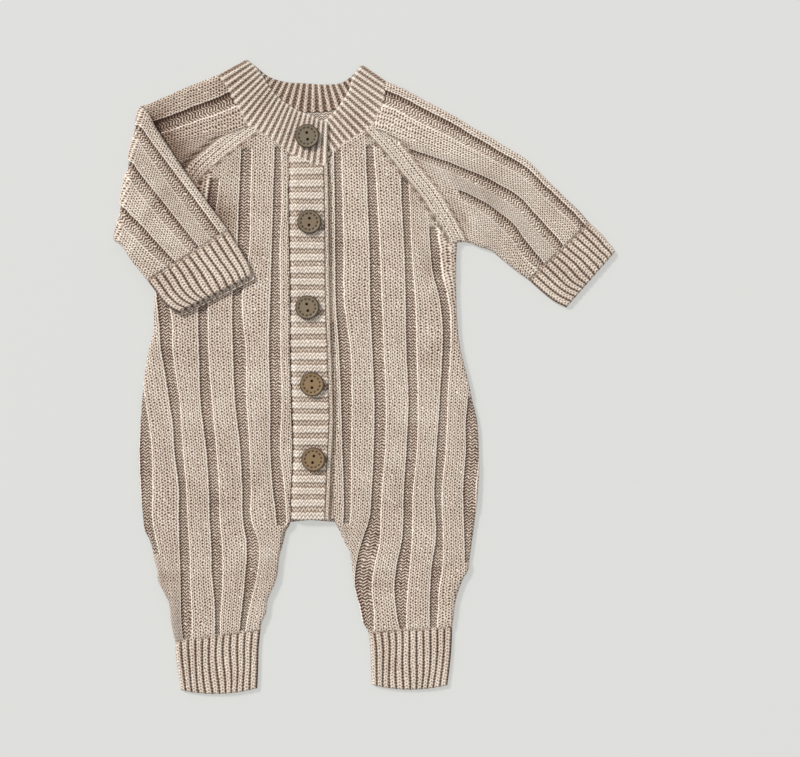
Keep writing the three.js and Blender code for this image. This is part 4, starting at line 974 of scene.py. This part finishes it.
neck = {
    "leftSeam": [(9.5, 400), (-1.5, 400.8), (-11, 404.8), (-19.5, 409.5), (-27, 415.5), (-34.5, 420.5), (-44, 426.5),
                 (-52, 434.5), (-59, 447), (-65, 458), (-70.5, 466)],
    "leftEdge": [(10, 430.5), (2, 434), (-5, 437.5), (-13, 440.5), (-20, 445), (-27, 450), (-33, 456.5),
                 (-38, 464.5), (-44, 472.5), (-50, 477.5)],
    "backSeam": [(-70.5, 466), (-58, 456), (-40, 445.5), (-22.5, 442), (-7.5, 441), (7.5, 441.5), (22.5, 445.5),
                 (37, 453), (50.5, 462)],
    "backEdge": [(-50, 477.5), (-44, 473), (-35, 466), (-22.5, 462), (-7.5, 461), (8, 460), (20, 461.5),
                 (28, 467), (34, 473.5)],
    "rightSeam": [(50.5, 462), (51, 454), (49, 444), (44, 434.5), (39, 427.5), (31, 421.5), (23, 417), (16.5, 412.5),
                  (7.5, 406.5)],
    "rightEdge": [(34, 473.5), (28, 465.5), (25, 455), (20, 447), (15, 440.5), (10, 435.5), (5, 432), (1.5, 428),
                  (-4, 425)],
    "ribs": (22, 22, 15),    # on the left front, the back and the right front
    "raglanRibs": (14.0, 52.6),    # ribs above the raglan seams, where the band reaches further down
    "leftAway": (-0.54, 0.84),
    "rightAway": (0.58, 0.81),
    "lift": 2.45,            # the left end lies over the right one
    "centre": 2.35,
    "rise": 0.95,
}


def neckbandPiece():
    stations = []            # seam point, edge point, angle round the shoulder fold, away, lift, press, rib
    perRib = 8
    ribAt = 0.0
    runs = (("leftSeam", "leftEdge", 0, neck["ribs"][0]), ("fold", None, 0, neck["leftAway"]),
            ("backSeam", "backEdge", 180, neck["ribs"][1]), ("fold", None, 180, neck["rightAway"]),
            ("rightSeam", "rightEdge", 0, neck["ribs"][2]))
    seams, edges, angles, aways, lifts, presses, ribs = [], [], [], [], [], [], []
    for kind, edgeName, degrees, extra in runs:
        if kind == "fold":
            count = 10
            seams.append(np.repeat(seams[-1][-1:], count, axis=0))
            edges.append(np.repeat(edges[-1][-1:], count, axis=0))
            turn = np.linspace(0, 180, count + 2)[1:-1]
            angles.append(turn if degrees == 0 else 180 - turn)
            aways.append(np.tile(extra, (count, 1)))
            lifts.append(np.zeros(count))
            presses.append(np.zeros(count))
            ribs.append(ribAt + np.linspace(0, 1, count + 2)[1:-1])
            ribAt += 1
            continue
        count = extra * perRib + 1
        share = np.linspace(0, 1, count)
        ribs.append(ribAt + share * extra)
        share = ribPlace(share * extra, 0.5, 0.15)
        seams.append(alongLine(neck[kind], share))
        edges.append(alongLine(neck[edgeName], share))
        angles.append(np.full(count, float(degrees)))
        aways.append(np.zeros((count, 2)))
        lifts.append(neck["lift"] * (1 - ease((share - 0.16) / 0.12)) * (kind == "leftSeam"))
        presses.append(ease((share - 0.55) / 0.15) * (kind == "rightSeam"))
        ribAt += extra
    seam, edge, away = np.concatenate(seams), np.concatenate(edges), np.concatenate(aways)
    angle, lift, press, rib = (np.concatenate(v) for v in (angles, lifts, presses, ribs))
    angle = np.radians(angle)
    across = 34
    outerShare = np.linspace(0, 1, across)
    share = np.concatenate([outerShare, outerShare[::-1]])
    outer = np.concatenate([np.ones(across), np.zeros(across)])[None]
    width = np.hypot(*(edge - seam).T)[:, None]
    fromSeam = share[None] * width
    distance = (1 - share[None]) * width * 0.85
    path = np.concatenate([[0], np.cumsum(np.hypot(*np.diff((seam + edge) / 2, axis=0).T))])
    ends = np.minimum(path, path[-1] - path)[:, None]
    rounding = roundEdge(distance, 1.5) * roundEdge(ends, 1.8) * (1 - 0.1 * (1 - roundEdge(fromSeam, 1.3)))
    knitRib = (0.5 + 0.5 * np.cos(2 * np.pi * (rib[:, None] + 0.5))) * np.ones(share.shape)
    purl = ease(1.6 - 2.2 * knitRib)
    wale = rib[:, None] * 2 + np.zeros(share.shape) - 0.5
    course = share[None] * width / knit["courseHeight"]
    atBack = (1 - np.cos(angle)) / 2
    detail = (neck["rise"] * knitRib ** 0.7 + (stitchHeight(wale, course, purl) - 0.6) * 0.5)
    pick = np.exp(-((fromSeam - 1.4) / 0.9) ** 2) * (0.2 + 0.4 * np.cos(4 * np.pi * wale))
    detail = detail + pick * (1 - atBack[:, None])
    frontShown = (1 - atBack[:, None]) * (1 - 0.85 * press[:, None])
    outerRadius = 2.0 + detail * (1 - 0.8 * atBack[:, None]) * np.maximum(frontShown, 0.25 * (1 - atBack[:, None]))
    outerRadius = outerRadius - 0.25 * press[:, None]
    innerRadius = 0.15 - 0.55 * detail * atBack[:, None]
    middle = 0.9
    radius = np.where(outer > 0, middle + (outerRadius - middle) * rounding, middle + (innerRadius - middle) * rounding)
    atRaglan = sum(np.exp(-((rib[:, None] - seamRib) / 1.2) ** 2) for seamRib in neck["raglanRibs"])
    reach = -(layers["bandReach"] + 1.3 * atRaglan) / width * (1 - share[None]) ** 4
    plane = seam[:, None] + (share[None] + reach)[..., None] * (edge - seam)[:, None]
    plane = plane + away[:, None] * (radius * np.sin(angle)[:, None] * 0.8)[..., None]
    z = neck["centre"] + radius * np.cos(angle)[:, None] + lift[:, None]
    points = np.concatenate([plane, z[..., None]], axis=-1)
    toEdge = (1 - share[None]) * width
    front = 1 - atBack[:, None]
    # painted light on the rib crowns and painted shade in their valleys, darker along the seam, and painted light on
    # the bumps of the picked-up stitches
    shade = ribLight(knitRib ** 2, 0.38, 0.25, 1) - 0.2 * np.exp(-((fromSeam + 0.6) / 0.8) ** 2) + 0.5 * pick * front
    # painted highlight on the rolled free edge of the front parts
    shade = shade + 0.22 * front * np.exp(-((toEdge - 1.0) / 1.0) ** 2)
    # painted highlight on the rounded ends of the band
    shade = shade + 0.2 * front * np.exp(-((path[:, None] - 1.5) / 1.2) ** 2)
    # painted shade on the back part of the band, which lies lower under the front parts, deepest at its corners
    backRun = (rib[:, None] - neck["ribs"][0] - 1) / neck["ribs"][1]
    corners = ease(1 - backRun / 0.22) + ease(1 - (1 - backRun) / 0.22)
    shade = shade - atBack[:, None] * (0.17 + 0.16 * corners)
    part = {"points": points, "wale": np.broadcast_to(wale, z.shape), "course": np.broadcast_to(course, z.shape),
            "purl": np.broadcast_to(purl, z.shape), "shade": shade, "calm": 0.5, "flip": True}
    piece = buildMesh("neckbandCloth", [part], ribCloth)
    mergeEdges(piece)
    return piece


# Buttonhole band with cross ribs, and the button band below it

bands = {
    "bottom": 133.0,
    "top": 400.5,
    "ridges": 29,
    "ridgeRise": 1.0,
    "lift": 2.45,
    "thin": 1.9,
    "left": [(133, -18.2), (148, -18.3), (185, -16.7), (223, -17.7), (260, -18.7), (298, -18.7), (341, -19.2),
             (380, -19.7), (401, -19.7)],
    "right": [(133, 10.4), (144, 11), (174, 12), (205, 13.6), (235, 13), (266, 12), (298, 11), (335, 10.6),
              (373, 10.2), (401, 9.6)],
    "sway": 0.5,
    "edging": 3.0,           # width of the smooth stitch along the free edge
    "zigzag": 2.85,          # width of its loops
}


def buttonholeBand():
    step = 0.72
    y0 = np.arange(bands["bottom"], bands["top"] + step / 2, step)
    low, high = smoothAt(bands["left"], y0), smoothAt(bands["right"], y0)
    count = 52
    share = np.linspace(0, 1, count)[None]
    x = low[:, None] + share * (high - low)[:, None]
    y = y0[:, None] + bands["sway"] * softWaves(x, y0[:, None], 30, 3)
    seamTop = np.interp(x, [-19.5, -11, -1.5, 9.5], [409.0, 404.6, 400.8, 400.3])
    y = y + ease((y0[:, None] - bands["top"] + 16) / 16) * (seamTop - bands["top"])
    pitch = (bands["top"] - bands["bottom"]) / bands["ridges"]
    phase = (y - bands["bottom"]) / pitch + 0.12 * softWaves(x * 0.2, y, 44, 8)
    raised = ease(0.5 + 1.5 * (np.cos(2 * np.pi * (phase - 0.32)) + 0.12))
    right = high[:, None] - x
    selvedge = np.exp(-((right - 1.5) / 1.0) ** 2)
    flatEdge = ease((right - 1.8) / 1.6)
    edging = right < bands["edging"]
    wale = np.where(edging, right / 3.0 + 0.5, (x - low[:, None]) / bands["zigzag"])
    course = np.where(edging, y / knit["courseHeight"], phase * 3 + 0.165)
    purl = np.where(edging, 0.0, 1.0)
    # painted light on the raised cross ribs and on the raised selvedge, a little painted shade between the ribs
    shade = np.where(edging, 0.25 * selvedge, 0.3 * raised - 0.04)
    # painted shade in the gap behind the selvedge and along the band's left edge
    shade = shade - 0.4 * np.exp(-((right - 3.1) / 0.6) ** 2) - 0.3 * np.exp(-((x - low[:, None]) / 0.8) ** 2)
    detail = 0.5 * (stitchHeight(wale, course, purl) - 0.5)
    climb = ease((x - low[:, None]) / 5.0)
    dent = np.zeros(x.shape)
    for bx, by in buttons["places"]:
        away = np.hypot(x - bx, y - by)
        dent -= 1.1 * np.exp(-(away / 9.5) ** 2)
        dent -= 0.5 * np.exp(-((y - by) / 2.2) ** 2) * np.exp(-((np.abs(x - bx) - 9) / 5) ** 2)
    thick = bands["thin"] + bands["ridgeRise"] * raised * flatEdge + 0.35 * selvedge + detail + dent
    under = layers["frontBase"] + bands["lift"] * climb
    ends = np.minimum(y0 - y0[0], y0[-1] - y0)[:, None] + 0.2
    rounding = (roundEdge(x - low[:, None] + 0.3, 1.4) * roundEdge(right + 0.1, 1.6) * roundEdge(ends, 1.3))
    z = under + thick * (0.25 + 0.75 * rounding)
    x = np.concatenate([x[:, :1] + 1.0, x, x[:, -1:] - 0.5, x[:, -1:] - 5], axis=1)
    y = np.concatenate([y[:, :1], y, y[:, -1:], y[:, -1:]], axis=1)
    z = np.concatenate([under[:, :1] + 0.1, z, under[:, -1:] + 0.1, under[:, -1:] + 0.05], axis=1)
    grow = lambda a: np.concatenate([a[:, :1], a, a[:, -1:], a[:, -1:]], axis=1)
    part = {"points": np.stack([x, y, z], axis=-1), "wale": grow(wale), "course": grow(course), "purl": grow(purl),
            "shade": grow(shade), "calm": 0.3}
    return buildMesh("buttonholeBandCloth", [part], ribCloth)


def buttonBand():
    step = 1.1
    y0 = np.arange(bands["bottom"] + 0.5, 406, step)
    low = np.full(len(y0), -12.0)
    high = smoothAt([row for row in rightFront["inner"] if 128 < row[0] < 407], y0) - 0.3
    share = np.linspace(0, 1, 28)[None]
    x = low[:, None] + share * (high - low)[:, None]
    y = np.broadcast_to(y0[:, None], x.shape)
    wale, course = x / knit["waleWidth"], y / knit["courseHeight"]
    purl = np.zeros(x.shape)
    right = high[:, None] - x
    rounding = roundEdge(right + 0.2, 1.3) * roundEdge(x - low[:, None] + 0.1, 1.3)
    z = layers["frontBase"] + (1.6 + 0.35 * (stitchHeight(wale, course, purl) - 0.6)) * (0.25 + 0.75 * rounding)
    part = {"points": np.stack([x, y, z], axis=-1), "wale": wale, "course": course, "purl": purl}
    return buildMesh("buttonBandCloth", [part], ribCloth)


# Wooden buttons

# each button's light and dark grain, and the dark tone of its burnt dashes, which also paints shade in its holes and
# darkens its rim, sides and underside
woods = [
    {"light": (0.225, 0.185, 0.128, 1), "dark": (0.155, 0.125, 0.085, 1), "burntAndShade": (0.045, 0.028, 0.018, 1), "grainTurn": 0.4},
    {"light": (0.25, 0.19, 0.125, 1), "dark": (0.165, 0.122, 0.078, 1), "burntAndShade": (0.04, 0.026, 0.017, 1), "grainTurn": 1.3},
    {"light": (0.255, 0.195, 0.13, 1), "dark": (0.17, 0.127, 0.08, 1), "burntAndShade": (0.04, 0.026, 0.017, 1), "grainTurn": -0.5},
    {"light": (0.315, 0.21, 0.112, 1), "dark": (0.215, 0.14, 0.072, 1), "burntAndShade": (0.05, 0.03, 0.018, 1), "grainTurn": 0.9},
    {"light": (0.305, 0.205, 0.11, 1), "dark": (0.205, 0.135, 0.07, 1), "burntAndShade": (0.05, 0.03, 0.018, 1), "grainTurn": -1.1},
]


def buttonPiece(number):
    radius, height = buttons["radius"], buttons["height"]
    bx, by = buttons["places"][number]
    profile = np.array([(0, 2.62), (5.2, 2.62), (6.3, 2.66), (7.1, 2.85), (7.7, 3.0), (8.3, 2.98), (8.75, 2.7),
                        (9.0, 2.2), (9.0, 1.1), (8.7, 0.4), (7.8, 0), (0, 0)], float)
    step = np.concatenate([[0], np.cumsum(np.hypot(*np.diff(profile, axis=0).T))])
    fine = np.concatenate([np.linspace(0, step[7], 62), np.linspace(step[7], step[-1], 16)[1:]])
    r = np.interp(fine, step, profile[:, 0])[:, None]
    z = np.interp(fine, step, profile[:, 1])[:, None]
    turns = 120
    angle = np.linspace(0, 2 * np.pi, turns + 1)[None]
    x, y = r * np.cos(angle), r * np.sin(angle)
    tilt = math.radians(90 + buttons["turns"][number])
    top = (fine < step[7])[:, None]
    holes = np.zeros(x.shape)
    for end in (-1, 1):
        away = np.hypot(x - end * buttons["holeReach"] * math.cos(tilt), y - end * buttons["holeReach"] * math.sin(tilt))
        holes = np.maximum(holes, 1 - ease((away - buttons["hole"] + 0.15) / 0.3))
    dash = ease(4 * (np.cos(angle * buttons["dashes"] + number) + 0.35)) * np.exp(-((r - buttons["ring"]) / 0.48) ** 2)
    z = z - (2.3 * holes + 0.35 * dash) * top
    rim = ease((r - 7.6) / 0.9) * np.ones(x.shape)
    # the burnt dashes, painted shade in the thread holes, and a darker rim, sides and underside
    burntAndShade = np.clip(np.maximum(np.maximum(dash * 1.9, holes), rim * 0.85) * top + (1 - top) * 0.9, 0, 1)
    points = np.stack([x + bx, y + by, z + buttons["seat"] + np.zeros(x.shape)], axis=-1)
    part = {"points": points, "wale": np.broadcast_to(r, x.shape), "course": np.broadcast_to(angle, x.shape), "purl": burntAndShade}
    part["flip"] = True
    piece = buildMesh(f"buttonWood_{number + 1}", [part], woodMaterial(f"buttonWood{number + 1}", woods[number]))
    import bmesh
    work = bmesh.new()
    work.from_mesh(piece.data)
    bmesh.ops.remove_doubles(work, verts=work.verts, dist=0.005 * mm)
    bmesh.ops.recalc_face_normals(work, faces=work.faces)
    work.to_mesh(piece.data)
    work.free()
    piece.data.shade_smooth()
    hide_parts(f"button_{number + 1}")
    return piece


# Making the pieces

backCloth = backPiece()
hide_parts("back")
print("back ready")
frontLeftCloth = frontPanel("frontLeftCloth", leftFront, False)
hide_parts("front_left")
frontRightCloth = frontPanel("frontRightCloth", rightFront, True)
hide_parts("front_right")
print("fronts ready")
sleeveRightCloth = tubePiece("sleeveRightCloth", rightSleeve, knitCloth)
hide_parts("sleeve_right")
sleeveLeftCloth = tubePiece("sleeveLeftCloth", leftSleeve, knitCloth)
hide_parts("sleeve_left")
cuffRightCloth = tubePiece("cuffRightCloth", rightCuff, ribCloth)
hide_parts("sleeve_cuff_right")
cuffLeftCloth = tubePiece("cuffLeftCloth", leftCuff, ribCloth)
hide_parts("sleeve_cuff_left")
print("sleeves ready")
legCuffLeftCloth = tubePiece("legCuffLeftCloth", leftLegCuff, ribCloth)
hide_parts("leg_cuff_left")
legCuffRightCloth = tubePiece("legCuffRightCloth", rightLegCuff, ribCloth)
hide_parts("leg_cuff_right")
neckbandCloth = neckbandPiece()
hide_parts("neckband")
buttonholeBandCloth = buttonholeBand()
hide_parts("buttonhole_band")
buttonBandCloth = buttonBand()
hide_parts("button_band")
for number in range(len(buttons["places"])):
    buttonPiece(number)
print("trims and buttons ready")


# Floor, light and camera

view = {
    "centre": (63.75, 238.9),    # drawing place at the middle of the picture
    "width": 600.0,              # millimetres across the picture
    "lens": 70.0,
    "sensor": 36.0,
    "plane": 5.0,                # height at which that width holds
    "floor": (0.276, 0.28, 0.28, 1),
    "glow": (0.44, 0.44, 0.427, 1),    # the floor's own light, as on a light table, softens the shadows
    "sky": 0.55,
    "key": (-10.8, 9.8, 12.4),
    "keySize": 3.8,
    "keyPower": 2960.0,
}


def makeFloor():
    mesh = bpy.data.meshes.new("floor")
    half = 3.0
    mesh.from_pydata([(-half, -half, 0), (half, -half, 0), (half, half, 0), (-half, half, 0)], [], [(0, 1, 2, 3)])
    floor = bpy.data.objects.new("floor", mesh)
    bpy.context.scene.collection.objects.link(floor)
    material = bpy.data.materials.new("floorPaper")
    material.use_nodes = True
    shader = material.node_tree.nodes["Principled BSDF"]
    shader.inputs["Base Color"].default_value = view["floor"]
    shader.inputs["Emission Color"].default_value = view["glow"]
    shader.inputs["Emission Strength"].default_value = 1.0
    shader.inputs["Roughness"].default_value = 0.9
    shader.inputs["Specular IOR Level"].default_value = 0.1
    mesh.materials.append(material)


def areaLight(name, place, target, size, power, color):
    light = bpy.data.lights.new(name, "AREA")
    light.shape = "DISK"
    light.size = size
    light.energy = power
    light.color = color
    lamp = bpy.data.objects.new(name, light)
    bpy.context.scene.collection.objects.link(lamp)
    from mathutils import Vector
    lamp.location = place
    lamp.rotation_euler = (Vector(target) - Vector(place)).to_track_quat("-Z", "Y").to_euler()
    return lamp


makeFloor()
world = bpy.data.worlds.new("studio")
world.use_nodes = True
world.node_tree.nodes["Background"].inputs[0].default_value = (1.0, 0.985, 0.965, 1)
world.node_tree.nodes["Background"].inputs[1].default_value = view["sky"]
bpy.context.scene.world = world
areaLight("key", view["key"], (0, 0, 0), view["keySize"], view["keyPower"], (1.0, 0.985, 0.96))
bpy.context.scene.view_settings.view_transform = "Standard"

camera = bpy.data.objects.new("camera", bpy.data.cameras.new("camera"))
bpy.context.scene.collection.objects.link(camera)
camera.data.lens = view["lens"]
camera.data.sensor_width = view["sensor"]
distance = view["width"] * view["lens"] / view["sensor"]
camera.location = ((view["centre"][0] + drawingShift[0]) * mm, (view["centre"][1] + drawingShift[1]) * mm,
                   (distance + view["plane"]) * mm)
camera.data.clip_start = 0.05
camera.data.clip_end = 20
bpy.context.scene.camera = camera
print("stage ready")

# Number of triangles in all the meshes
total = sum(len(p.data.loop_triangles) for p in bpy.data.objects if p.type == "MESH")
print("triangles", total)
